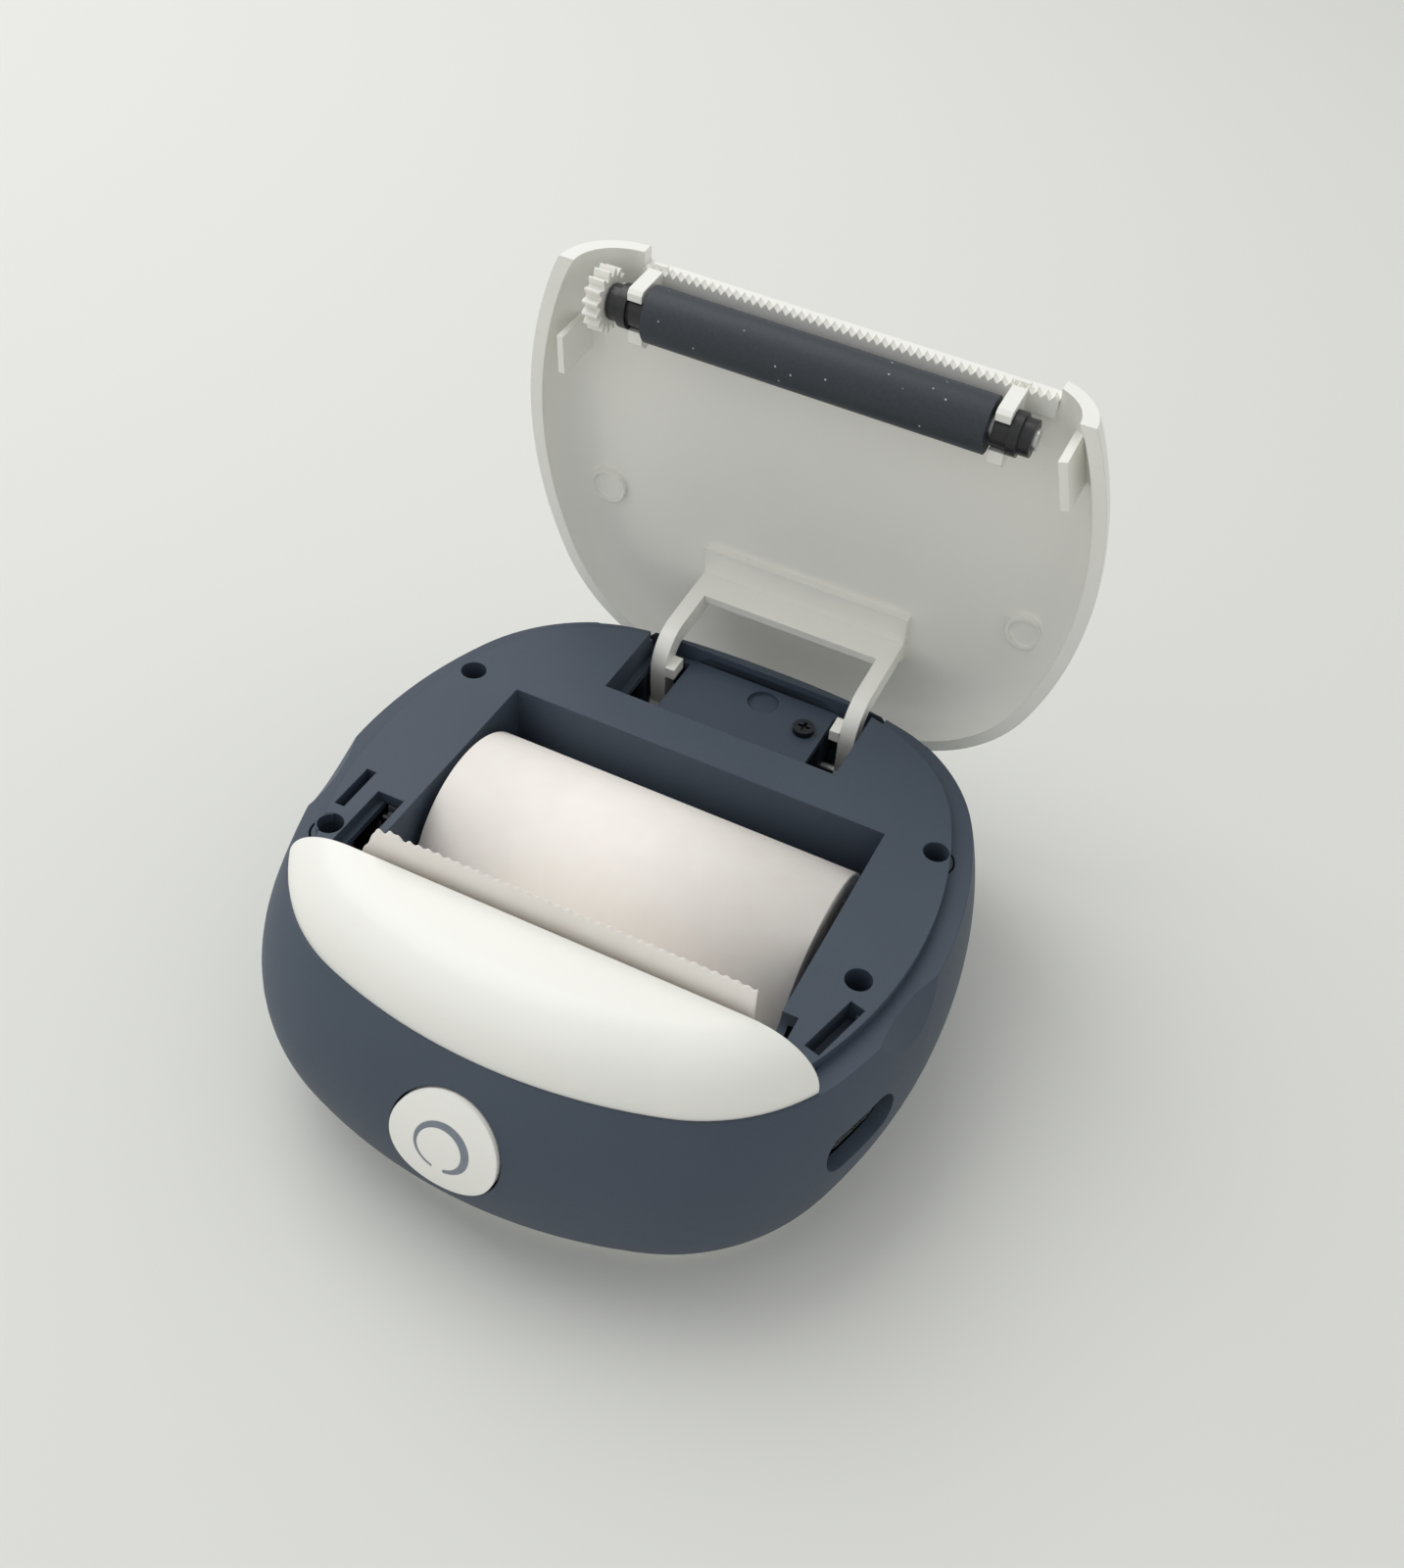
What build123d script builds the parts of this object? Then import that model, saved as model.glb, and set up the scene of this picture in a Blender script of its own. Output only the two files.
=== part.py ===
from build123d import *

import os
from math import acos, asin, atan2, cos, degrees, hypot, pi, radians, sin, sqrt, tan

# Portable thermal printer with its lid open, in millimetres.
# Origin at the middle of the flat base, X to the right, Y to the rear, Z up.

# Paper roll, a standard 57 mm wide one, and the bay that it drops into.
paper_width = 57.0
paper_side_gap = 1.4
bay_half_width = paper_width / 2 + paper_side_gap
roll_radius = 15.3
roll_core_radius, roll_core_bore = 6.2, 5.2
roll_y, roll_z = 2.6, 20.0
roll_gap = 0.3
bay_radius = 16.4
bay_wall = 1.2
bay_floor_wall = 1.4
bay_front_top = 28.0
head_room_front = -29.5
paper_thickness = 0.1
paper_y = -23.3
paper_top = 46.0
paper_bend_z = 31.0

# Body shell: rounded-square outlines at three heights, as half sizes. Its width follows the bay,
# and the base and rim are tucked in from the belly, front and rear.
base_side, belly_side, rim_side = 12.5, 17.7, 15.5
belly_half_y, base_tuck, rim_tuck = 48.0, 6.1, 4.0
wall = 2.2
base_thickness = 1.8
base_half_x, base_half_y = bay_half_width + base_side, belly_half_y - base_tuck
belly_half_x, belly_z = bay_half_width + belly_side, 17.0
rim_half_x, rim_half_y = bay_half_width + rim_side, belly_half_y - rim_tuck
rim_z, rim_y = 32.6, 3.0
rim_rear = rim_y + rim_half_y
corner_ratio = 0.62
corner_reach = 0.762
flange_thickness = 2.0
flange_inset = 5.4
base_taper = 1.1

# Deck that carries the paper bay.
deck_thickness = 1.8
deck_inset = 3.4
deck_wall = 1.2
deck_top = rim_z + deck_thickness
pocket_left, pocket_rear = -bay_half_width - 5.3, -9.0

# Hinge with gooseneck arms.
hinge_inset = 5.8
hinge_y, hinge_z = rim_rear - hinge_inset, 20.8
lid_open = 85.4
pin_diameter = 2.5
pin_fit = 0.05
seat_fit = 0.02
arm_inner, arm_outer = 15.0, 17.6
arm_depth = 3.2
arm_front = hinge_y - 14.4
eye_radius = 2.5
ear_starts = (11.0, 18.3)
ear_thickness = 1.4
recess_half, recess_front, recess_floor = 19.0, arm_front - 0.3, 29.5
rim_trim_radius = 11.6
skirt_radius = rim_z - hinge_z

# Lid and front panel share one outline.
lid_inset = 0.4
lid_wall = 2.0
lid_top = 41.5
lid_ceiling = lid_top - lid_wall
panel_rear, lid_front = -24.6, -24.3
notch_left, notch_right, notch_y = 0.7 - bay_half_width, bay_half_width + 2.3, -22.3
tooth_tip, tooth_depth, tooth_count = -23.1, 0.8, 50
tear_bar_thickness, tear_bar_rear = 1.2, -19.9
lid_edge = 8.6

# Platen roller, hung in forks under the lid.
platen_y, platen_z = -19.2, 33.9
bush_start, bush_end = bay_half_width - 4.2, bay_half_width + bay_wall
platen_radius, platen_half = 3.9, bush_start - 0.6
shaft_radius = 1.5
shaft_flat = 1.1
bush_radius = 2.5
bush_clearance = 0.05
fork_thickness = 2.2
fork_front, fork_rear, fork_low = -23.0, -14.2, 31.9
fork_opening = 2.25
gear_left, gear_width = -bay_half_width - 3.9, 2.4
shaft_left, shaft_right = gear_left - 0.4, bush_end + 0.5

# Gear train in the pocket at the left of the bay.
gear_module = 0.5
pressure_angle = 25.0
addendum, dedendum = 0.42, 0.56
backlash = 0.1
platen_teeth, drive_teeth, idler_teeth, pinion_teeth = 16, 32, 16, 12
drive_angle, idler_angle, pinion_angle = -85.4, 30.3, -56.0
axle_radius = 0.75
axle_fit = 0.06
motor_radius, motor_length, motor_face = 7.4, 7.7, gear_left - 1.1
bracket_plate = 0.5

# Print head under the rear edge of the panel.
head_face, head_half = -23.5, platen_half + 0.1
head_low, head_high = 29.5, 37.5
ceramic_thickness, sink_thickness, sink_half = 1.0, 1.5, head_half + 1.3
head_bracket_face, head_bracket_steel = -28.2, 0.8
spring_gap = 0.5

# Button, port, screws and boards.
button_x, button_z, button_lean = -1.4, 22.0, 14.0
button_radius, button_gap, button_proud = 7.8, 0.3, 0.5
button_thickness = 2.4
port_x, port_y, port_z, port_turn = belly_half_x - 3.0, -20.7, 22.3, -16.6
port_width, port_height = 13.8, 6.4
socket_width, socket_height, socket_depth = 8.9, 3.3, 7.3
deck_screws = (
    (rim_half_x - 7.8, 19.4),
    (7.8 - rim_half_x, 19.4),
    (8.1 - rim_half_x, -17.3),
    (rim_half_x - 8.8, -7.2),
)
screw_hole, screw_shank, screw_head = 3.8, 2.0, 3.4
boss_floor, boss_radius, column_radius = 22.5, 2.7, 2.9
base_screw_x, base_screw_y = base_half_x - 13.9, base_half_y - 14.9
base_screws = (
    (base_screw_x, base_screw_y),
    (-base_screw_x, base_screw_y),
    (-base_screw_x, -base_screw_y),
    (base_screw_x, -base_screw_y),
)
base_column_top = 9.0
recess_screw_x, recess_screw_y = 9.5, hinge_y - 3.3
board_z, board_thickness = 10.0, 1.2
scoop_x, scoop_y, scoop_z, scoop_radius, scoop_lean = rim_half_x + 0.1, -12.0, 28.7, 36.0, 0.69
battery_height = 6.0
board_half = 26.0

# Slots for the lid's tabs, standoffs of the motor's bracket and the paper sensor.
slant_turn = -15.2
slant_x, slant_y, slant_length, slant_width = rim_half_x - 8.5, -15.8, 9.6, 2.3
left_slot = (6.4 - rim_half_x, 7.9 - rim_half_x, -13.8, -6.1)
standoffs = ((4.0, 28.0), (-9.5, 13.5))
standoff_radius, standoff_peg = 1.6, 0.9
sensor_width, sensor_length, sensor_depth = 4.0, 5.0, 2.4

# Small sizes of the moulded details.
cut_low, cut_high = 29.0, 33.0
recess_column, recess_shank, recess_head = 1.4, 0.8, 1.7
ear_front, ear_rear = hinge_y - 2.8, hinge_y + 2.6
base_rib_height, base_rib_depth = 1.8, 1.3
post_x, post_radius = board_half - 1.4, 1.6
mark_x, mark_y, mark_outer, mark_inner = rim_half_x - 9.9, 17.0, 3.0, 2.4
tab_low = 30.8
ring_outer, ring_inner, ring_gap = 4.0, 3.2, 1.6
spring_x, spring_z, spring_radius, spring_wire, spring_pitch = 12.0, 35.5, 1.3, 0.36, 1.0
battery_half_x, battery_front, battery_rear = 21.5, -33.5, -13.5

os.makedirs("parts", exist_ok=True)


def squircle(plane, half_x, half_y, inset=0.0, at_y=0.0):
    """Rounded-square face of eight tangent arcs, drawn inset millimetres inside its edge."""
    radius = corner_ratio * min(half_x, half_y)
    corner_x = corner_reach * half_x - radius / sqrt(2)
    corner_y = corner_reach * half_y - radius / sqrt(2)
    side = (radius**2 - (half_x - corner_x) ** 2 - corner_y**2) / (2 * (radius - half_x + corner_x))
    front = (radius**2 - (half_y - corner_y) ** 2 - corner_x**2) / (2 * (radius - half_y + corner_y))
    low = degrees(atan2(corner_y, corner_x - half_x + side))
    high = degrees(atan2(corner_y - half_y + front, corner_x))
    with BuildSketch(plane) as face:
        with BuildLine():
            for turn, sx, sy in ((0, 1, 1), (180, -1, -1)):
                CenterArc((sx * (half_x - side), at_y), side - inset, turn - low, 2 * low)
                CenterArc((sx * corner_x, at_y + sy * corner_y), radius - inset, turn + low, high - low)
                CenterArc((0, at_y + sy * (half_y - front)), front - inset, turn + high, 180 - 2 * high)
                CenterArc((-sx * corner_x, at_y + sy * corner_y), radius - inset, turn + 180 - high,
                          high - low)
        make_face()
    return face.sketch


def body_form(inset, straight=False):
    """Solid of the belly form from the base to the rim, inset millimetres inside its skin.

    A straight one runs in two plain tapers from outline to outline.
    """
    with BuildPart() as form:
        low = squircle(Plane.XY.offset(base_thickness), base_half_x, base_half_y, inset)
        middle = squircle(Plane.XY.offset(belly_z), belly_half_x, belly_half_y, inset)
        high = squircle(Plane.XY.offset(rim_z), rim_half_x, rim_half_y, inset, rim_y)
        loft(sections=[low.face(), middle.face(), high.face()], ruled=straight)
    return form.part


def rim_outline(height, inset):
    return squircle(Plane.XY.offset(height), rim_half_x, rim_half_y, inset, rim_y)


def side_face(x, points):
    """Closed polygon of (y, z) points in the plane at x."""
    with BuildSketch(Plane.YZ.offset(x)) as face:
        with BuildLine():
            Polyline(*points, close=True)
        make_face()
    return face.sketch


def side_circle(x, y, z, radius):
    with BuildSketch(Plane.YZ.offset(x)) as face:
        with Locations((y, z)):
            Circle(radius)
    return face.sketch


def level_box(x0, x1, y0, y1, z0, z1):
    """Box between two corners."""
    with BuildPart() as block:
        with BuildSketch(Plane.XY.offset(z0)):
            with Locations(((x0 + x1) / 2, (y0 + y1) / 2)):
                Rectangle(x1 - x0, y1 - y0)
        extrude(amount=z1 - z0)
    return block.part


def upright(x, y, radius, z0, z1):
    """Cylinder along Z between z0 and z1."""
    with BuildPart() as block:
        with BuildSketch(Plane.XY.offset(z0)):
            with Locations((x, y)):
                Circle(radius)
        extrude(amount=z1 - z0)
    return block.part


def cross_pin(y, z, radius, x0, x1):
    """Cylinder along X between x0 and x1."""
    with BuildPart() as block:
        with BuildSketch(Plane.YZ.offset(x0)):
            with Locations((y, z)):
                Circle(radius)
        extrude(amount=x1 - x0)
    return block.part


outer_form = body_form(0)
inner_form = body_form(wall)

# Body shell: hollow belly form with a flange round its rim.
button_plane = Plane(
    origin=(button_x, 0.7 - belly_half_y, button_z),
    x_dir=(1, 0, 0),
    z_dir=(0, -cos(radians(button_lean)), sin(radians(button_lean))),
)
port_plane = Plane(
    origin=(port_x, port_y, port_z),
    x_dir=(-sin(radians(port_turn)), cos(radians(port_turn)), 0),
    z_dir=(cos(radians(port_turn)), sin(radians(port_turn)), 0),
)
with BuildPart() as columns:
    for x, y in deck_screws:
        add(upright(x, y, column_radius, 8.0, boss_floor))
        reach = 1 if x > 0 else -1
        add(level_box(min(x, x + 9 * reach), max(x, x + 9 * reach), y - 1, y + 1, 8.0, boss_floor))
    for x, y in base_screws:
        add(upright(x, y, column_radius, base_thickness, base_column_top))
        add(level_box(min(x, 1.3 * x), max(x, 1.3 * x), y - 0.8, y + 0.8, base_thickness, base_column_top))
    add(upright(recess_screw_x, recess_screw_y, recess_column, 23.5, recess_floor - deck_wall))
    add(level_box(recess_screw_x - 0.6, recess_screw_x + 0.6, recess_screw_y, rim_rear, 23.5,
                  recess_floor - deck_wall))
    add(outer_form, mode=Mode.INTERSECT)

with BuildPart() as flange:
    add(body_form(1.0))
    add(level_box(-50, 50, -50, 55, rim_z - flange_thickness, rim_z), mode=Mode.INTERSECT)
    extrude(rim_outline(rim_z, flange_inset), amount=-10, mode=Mode.SUBTRACT)

with BuildPart() as body_shell:
    add(outer_form)
    add(inner_form, mode=Mode.SUBTRACT)
    add(flange.part)
    add(columns.part)
    # Room in the flange for the hinge recess, screw bosses and lid tabs.
    add(level_box(-recess_half - 1.5, recess_half + 1.5, recess_front - 1.5, ear_rear + 0.8, cut_low,
                  cut_high), mode=Mode.SUBTRACT)
    bay_rear = roll_y + bay_radius + 1.7
    add(level_box(-bay_half_width - 1.5, bay_half_width + 1.5, head_room_front - 1.5, bay_rear, cut_low,
                  cut_high), mode=Mode.SUBTRACT)
    add(level_box(pocket_left - 1.0, -bay_half_width - 1.1, -28.2, pocket_rear + 1.0, cut_low, cut_high),
        mode=Mode.SUBTRACT)
    for x, y in deck_screws:
        add(upright(x, y, boss_radius + 0.3, boss_floor, cut_high), mode=Mode.SUBTRACT)
        add(upright(x, y, screw_shank / 2 + seat_fit, 12, boss_floor), mode=Mode.SUBTRACT)
    for x, y in base_screws:
        add(upright(x, y, screw_shank / 2 + seat_fit, base_thickness, 8), mode=Mode.SUBTRACT)
    add(upright(recess_screw_x, recess_screw_y, recess_shank + seat_fit, 24, cut_low), mode=Mode.SUBTRACT)
    add(level_box(left_slot[0] - 0.3, pocket_left, left_slot[2] - 0.3, left_slot[3] + 0.3, cut_low, cut_high),
        mode=Mode.SUBTRACT)
    with BuildSketch(Plane.XY.offset(cut_low)):
        with Locations(Location((slant_x - 2.5, slant_y), slant_turn)):
            Rectangle(slant_width + 5.6, slant_length + 0.6)
    extrude(amount=4, mode=Mode.SUBTRACT)
    # Rear edge rolled off round the hinge line, so that the lid's skirt passes it.
    with BuildSketch(Plane.YZ.offset(-40)):
        with Locations((hinge_y + 10, hinge_z + 15)):
            Rectangle(20, 30)
        with Locations((hinge_y, hinge_z)):
            Circle(rim_trim_radius, mode=Mode.SUBTRACT)
    extrude(amount=80, mode=Mode.SUBTRACT)
    # Finger scoops beside the lid's front corners.
    for side in (1, -1):
        scoop = Plane(
            origin=(side * scoop_x, scoop_y, scoop_z),
            x_dir=(0, 1, 0),
            z_dir=(-side * scoop_lean, 0, 1),
        )
        with BuildSketch(scoop.offset(-3)):
            with Locations((0, -side * scoop_radius)):
                Circle(scoop_radius)
        extrude(amount=14, mode=Mode.SUBTRACT)
    # Button hole, oval port and the seat of the base.
    with BuildSketch(button_plane.offset(-12)):
        Circle(button_radius + button_gap)
    extrude(amount=20, mode=Mode.SUBTRACT)
    with BuildSketch(port_plane.offset(-8)):
        SlotOverall(port_width, port_height)
    extrude(amount=16, mode=Mode.SUBTRACT)
body_shell.part.label = "body_shell"
export_step(body_shell.part, "parts/body_shell.step")

# Base cover: white tray with a rib inside the shell and posts for the boards.
with BuildPart() as base_cover:
    low = squircle(Plane.XY, base_half_x, base_half_y, base_taper)
    high = squircle(Plane.XY.offset(base_thickness), base_half_x, base_half_y)
    loft(sections=[low.face(), high.face()], ruled=True)
    rib = squircle(Plane.XY.offset(base_thickness), base_half_x, base_half_y, wall + 0.3)
    extrude(rib, amount=base_rib_height)
    hollow = squircle(Plane.XY.offset(base_thickness), base_half_x, base_half_y, wall + 0.3 + base_rib_depth)
    extrude(hollow, amount=base_rib_height, mode=Mode.SUBTRACT)
    for x, y in base_screws:
        near, far = sorted((x - 4.2 * x / abs(x), 1.35 * x))
        add(level_box(near, far, y - 4.2, y + 4.2, base_thickness, 4.0), mode=Mode.SUBTRACT)
        add(upright(x, y, screw_shank / 2 + 0.1, 0, base_thickness), mode=Mode.SUBTRACT)
        add(upright(x, y, screw_head / 2 + 0.2, 0, 1.1), mode=Mode.SUBTRACT)
    for x, y in ((post_x, -31.5), (-post_x, -31.5), (post_x, -17.0), (-post_x, -17.0)):
        add(upright(x, y, post_radius, base_thickness, board_z))
    # Post under the socket's board and low fence round the battery.
    add(level_box(33.0, 35.0, -20.5, -15.5, base_thickness, port_z - socket_height / 2 - 1.0))
    for x in (-battery_half_x - 1.3, battery_half_x + 0.5):
        add(level_box(x, x + 0.8, battery_front + 3.5, battery_rear - 2.5, base_thickness,
                      base_thickness + 3))
base_cover.part.label = "base_cover"
export_step(base_cover.part, "parts/base_cover.step")

with BuildPart() as base_screws_part:
    for x, y in base_screws:
        add(upright(x, y, screw_head / 2, 0.2, 1.1))
        add(upright(x, y, screw_shank / 2, 1.1, 7.5))
        add(level_box(x - 1.1, x + 1.1, y - 0.25, y + 0.25, 0, 0.7), mode=Mode.SUBTRACT)
        add(level_box(x - 0.25, x + 0.25, y - 1.1, y + 1.1, 0, 0.7), mode=Mode.SUBTRACT)
base_screws_part.part.label = "base_screws"
export_step(base_screws_part.part, "parts/base_screws.step")


# Line of the bay's front wall, tangent to the round floor.
wall_top_y, wall_top_z = paper_y - 1.2, paper_bend_z - 0.5
wall_gap = hypot(roll_y - wall_top_y, roll_z - wall_top_z)
wall_lean = asin(bay_radius / wall_gap) + atan2(wall_top_z - roll_z, roll_y - wall_top_y)


def bay_side(x, offset, high, front):
    """Side profile of the bay: rear wall, round floor, slanting front wall and room for the head."""
    radius = bay_radius + offset
    turn_y = roll_y - radius * sin(wall_lean)
    turn_z = roll_z - radius * cos(wall_lean)
    lip_y = turn_y - (bay_front_top - turn_z) / tan(wall_lean)
    with BuildSketch(Plane.YZ.offset(x)) as face:
        with BuildLine():
            Line((roll_y + radius, high), (roll_y + radius, roll_z))
            CenterArc((roll_y, roll_z), radius, 0, -90 - degrees(wall_lean))
            if offset:
                Polyline((turn_y, turn_z), (lip_y, bay_front_top), (front, bay_front_top), (front, high),
                         (roll_y + radius, high))
            else:
                Polyline((turn_y, turn_z), (lip_y, bay_front_top), (panel_rear, bay_front_top),
                         (panel_rear, bay_front_top - 2), (front, bay_front_top - 2), (front, high),
                         (roll_y + radius, high))
        make_face()
    return face.sketch


def polar(y, z, distance, angle):
    return y + distance * cos(radians(angle)), z + distance * sin(radians(angle))


drive_y, drive_z = polar(platen_y, platen_z, gear_module * (platen_teeth + drive_teeth) / 2, drive_angle)
idler_y, idler_z = polar(drive_y, drive_z, gear_module * (drive_teeth + idler_teeth) / 2, idler_angle)
pinion_y, pinion_z = polar(idler_y, idler_z, gear_module * (idler_teeth + pinion_teeth) / 2, pinion_angle)
sensor_plane = Plane(
    origin=(0, roll_y - bay_radius * sin(wall_lean) - 6 * cos(wall_lean),
            roll_z - bay_radius * cos(wall_lean) + 6 * sin(wall_lean)),
    x_dir=(1, 0, 0),
    z_dir=(0, sin(wall_lean), cos(wall_lean)),
)

# Deck: plate, paper bay, hinge recess with ears, gear pocket and screw bosses in one moulding.
with BuildPart() as ears:
    for start in ear_starts:
        for x in (start, -start - ear_thickness):
            profile = side_face(x, ((ear_front, cut_low), (ear_rear, cut_low), (ear_rear, hinge_z),
                                    (hinge_y - eye_radius, hinge_z)))
            extrude(profile, amount=ear_thickness)
            extrude(side_circle(x, hinge_y, hinge_z, eye_radius), amount=ear_thickness)
    add(level_box(-recess_half - deck_wall, recess_half + deck_wall, recess_front - deck_wall, ear_rear + 0.5,
                  recess_floor - deck_wall, rim_z))
    add(body_form(wall + 0.25), mode=Mode.INTERSECT)

with BuildPart() as top_deck:
    extrude(rim_outline(rim_z, deck_inset), amount=deck_thickness)
    extrude(bay_side(-bay_half_width - bay_wall, bay_floor_wall, rim_z, head_room_front - deck_wall),
            amount=2 * (bay_half_width + bay_wall))
    add(ears.part)
    add(level_box(-recess_half, recess_half, recess_front, 50, recess_floor, 36), mode=Mode.SUBTRACT)
    extrude(bay_side(-bay_half_width, 0, 45, head_room_front), amount=2 * bay_half_width, mode=Mode.SUBTRACT)
    # Ribs that cradle the roll.
    for share in (-1, -1 / 3, 1 / 3, 1):
        with BuildSketch(Plane.YZ.offset(share * (paper_width / 2 - 4.5) - 0.75)):
            with Locations((roll_y, roll_z)):
                Circle(bay_radius + 0.3)
                Circle(roll_radius + roll_gap, mode=Mode.SUBTRACT)
            with Locations((roll_y, roll_z - 21.5)):
                Rectangle(40, 20, mode=Mode.INTERSECT)
        extrude(amount=1.5)
    # Screw bosses.
    for x, y in deck_screws:
        add(upright(x, y, boss_radius, boss_floor, rim_z))
        add(upright(x, y, screw_hole / 2, boss_floor + 1.5, deck_top + 1), mode=Mode.SUBTRACT)
        add(upright(x, y, screw_shank / 2 + seat_fit, boss_floor - 1, boss_floor + 2), mode=Mode.SUBTRACT)
    # Slots for the lid's tabs.
    add(level_box(left_slot[0], left_slot[1], left_slot[2], left_slot[3], 30, 36), mode=Mode.SUBTRACT)
    with BuildSketch(Plane.XY.offset(30)):
        with Locations(Location((slant_x, slant_y), slant_turn)):
            Rectangle(slant_width, slant_length)
    extrude(amount=6, mode=Mode.SUBTRACT)
    # Gear pocket with its ledge.
    add(level_box(pocket_left, -bay_half_width - bay_wall, -28, pocket_rear, 31, 36), mode=Mode.SUBTRACT)
    add(level_box(pocket_left - 0.8, pocket_left + 0.8, -28, pocket_rear + 0.8, 31.6, rim_z))
    # Notches that take the platen's bushes.
    for x0, x1 in ((-bush_end - 0.1, -bay_half_width + 0.1), (bay_half_width - 0.1, shaft_right + 0.6)):
        with BuildSketch(Plane.YZ.offset(x0)):
            with Locations((platen_y, platen_z)):
                Circle(bush_radius + bush_clearance)
            with Locations((platen_y, platen_z + 5)):
                Rectangle(2 * bush_radius + 2 * bush_clearance, 10)
        extrude(amount=x1 - x0, mode=Mode.SUBTRACT)
    # Recess floor: slots for the arms, a round blind recess and the screw hole.
    for x in (ear_starts[0] + ear_thickness + 0.2, -18.0):
        slot_width = 18.0 - ear_starts[0] - ear_thickness - 0.2
        add(level_box(x, x + slot_width, recess_front, hinge_y + 1.8, 27, recess_floor), mode=Mode.SUBTRACT)
    add(upright(1.3, hinge_y - 0.3, 2.5, recess_floor - 0.7, recess_floor), mode=Mode.SUBTRACT)
    add(upright(recess_screw_x, recess_screw_y, recess_shank + seat_fit, 27, recess_floor),
        mode=Mode.SUBTRACT)
    # Bores in the ears for the hinge pins.
    for start in ear_starts:
        for x in (start, -start - ear_thickness):
            add(cross_pin(hinge_y, hinge_z, pin_diameter / 2 + seat_fit, x, x + ear_thickness),
                mode=Mode.SUBTRACT)
    # Bosses for the gear axles and standoffs for the motor's bracket, on the bay's left wall.
    outer_face = -bay_half_width - bay_wall
    for y, z in ((drive_y, drive_z), (idler_y, idler_z)):
        add(cross_pin(y, z, 1.7, outer_face - 0.2, outer_face))
        add(cross_pin(y, z, axle_radius + seat_fit, outer_face - 0.2, outer_face + 0.8), mode=Mode.SUBTRACT)
    for y, z in standoffs:
        add(cross_pin(y, z, standoff_radius, motor_face + bracket_plate, outer_face))
        add(cross_pin(y, z, standoff_peg, motor_face, outer_face))
    # Window for the paper sensor.
    with BuildSketch(sensor_plane.offset(-3)):
        Rectangle(sensor_width, sensor_length)
    extrude(amount=5, mode=Mode.SUBTRACT)
top_deck.part.label = "top_deck"
export_step(top_deck.part, "parts/top_deck.step")

with BuildPart() as case_screws:
    for x, y in deck_screws:
        cross_low = boss_floor + 2.2
        add(upright(x, y, screw_head / 2, boss_floor + 1.5, boss_floor + 2.8))
        add(upright(x, y, screw_shank / 2, boss_floor - 9, boss_floor + 1.5))
        add(level_box(x - 1.1, x + 1.1, y - 0.25, y + 0.25, cross_low, boss_floor + 3), mode=Mode.SUBTRACT)
        add(level_box(x - 0.25, x + 0.25, y - 1.1, y + 1.1, cross_low, boss_floor + 3), mode=Mode.SUBTRACT)
case_screws.part.label = "case_screws"
export_step(case_screws.part, "parts/case_screws.step")

with BuildPart() as recess_screw:
    add(upright(recess_screw_x, recess_screw_y, recess_head, recess_floor, recess_floor + 1.0))
    add(upright(recess_screw_x, recess_screw_y, recess_shank, recess_floor - 5, recess_floor))
    add(level_box(recess_screw_x - 1, recess_screw_x + 1, recess_screw_y - 0.25, recess_screw_y + 0.25,
                  recess_floor + 0.5, recess_floor + 2), mode=Mode.SUBTRACT)
    add(level_box(recess_screw_x - 0.25, recess_screw_x + 0.25, recess_screw_y - 1, recess_screw_y + 1,
                  recess_floor + 0.5, recess_floor + 2), mode=Mode.SUBTRACT)
recess_screw.part.label = "recess_screw"
export_step(recess_screw.part, "parts/recess_screw.step")

with BuildPart() as paper_sensor:
    with BuildSketch(sensor_plane.offset(-0.2)):
        Rectangle(sensor_width, sensor_length)
    extrude(amount=-sensor_depth)
    with BuildSketch(sensor_plane.offset(-0.6)):
        with Locations((0, 1.2), (0, -1.2)):
            Rectangle(1.6, 1.4)
    extrude(amount=1, mode=Mode.SUBTRACT)
paper_sensor.part.label = "paper_sensor"
export_step(paper_sensor.part, "parts/paper_sensor.step")


def dome(shrink):
    """Flat-topped cover over the rim with a quarter-round edge, shrink millimetres smaller."""
    with BuildPart() as cover:
        extrude(rim_outline(rim_z - 4, lid_inset + shrink), amount=lid_top - shrink - rim_z + 4)
        fillet(cover.edges().group_by(Axis.Z)[-1], lid_edge - shrink)
    return cover.part


outer_dome = dome(0)
inner_dome = dome(lid_wall)

# Front panel: the fixed white cover ahead of the paper slot.
with BuildPart() as front_panel:
    add(outer_dome)
    add(inner_dome, mode=Mode.SUBTRACT)
    for x in (-16, 15):
        add(level_box(x, x + 1, -36, -33.4, deck_top, lid_top))
    add(outer_dome, mode=Mode.INTERSECT)
    add(level_box(-50, 50, -50, panel_rear, rim_z, 50), mode=Mode.INTERSECT)
front_panel.part.label = "front_panel"
export_step(front_panel.part, "parts/front_panel.step")

# The lid and what it carries are built shut, then turned open about this line.
hinge_line = Axis((0, hinge_y, hinge_z), (1, 0, 0))

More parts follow.
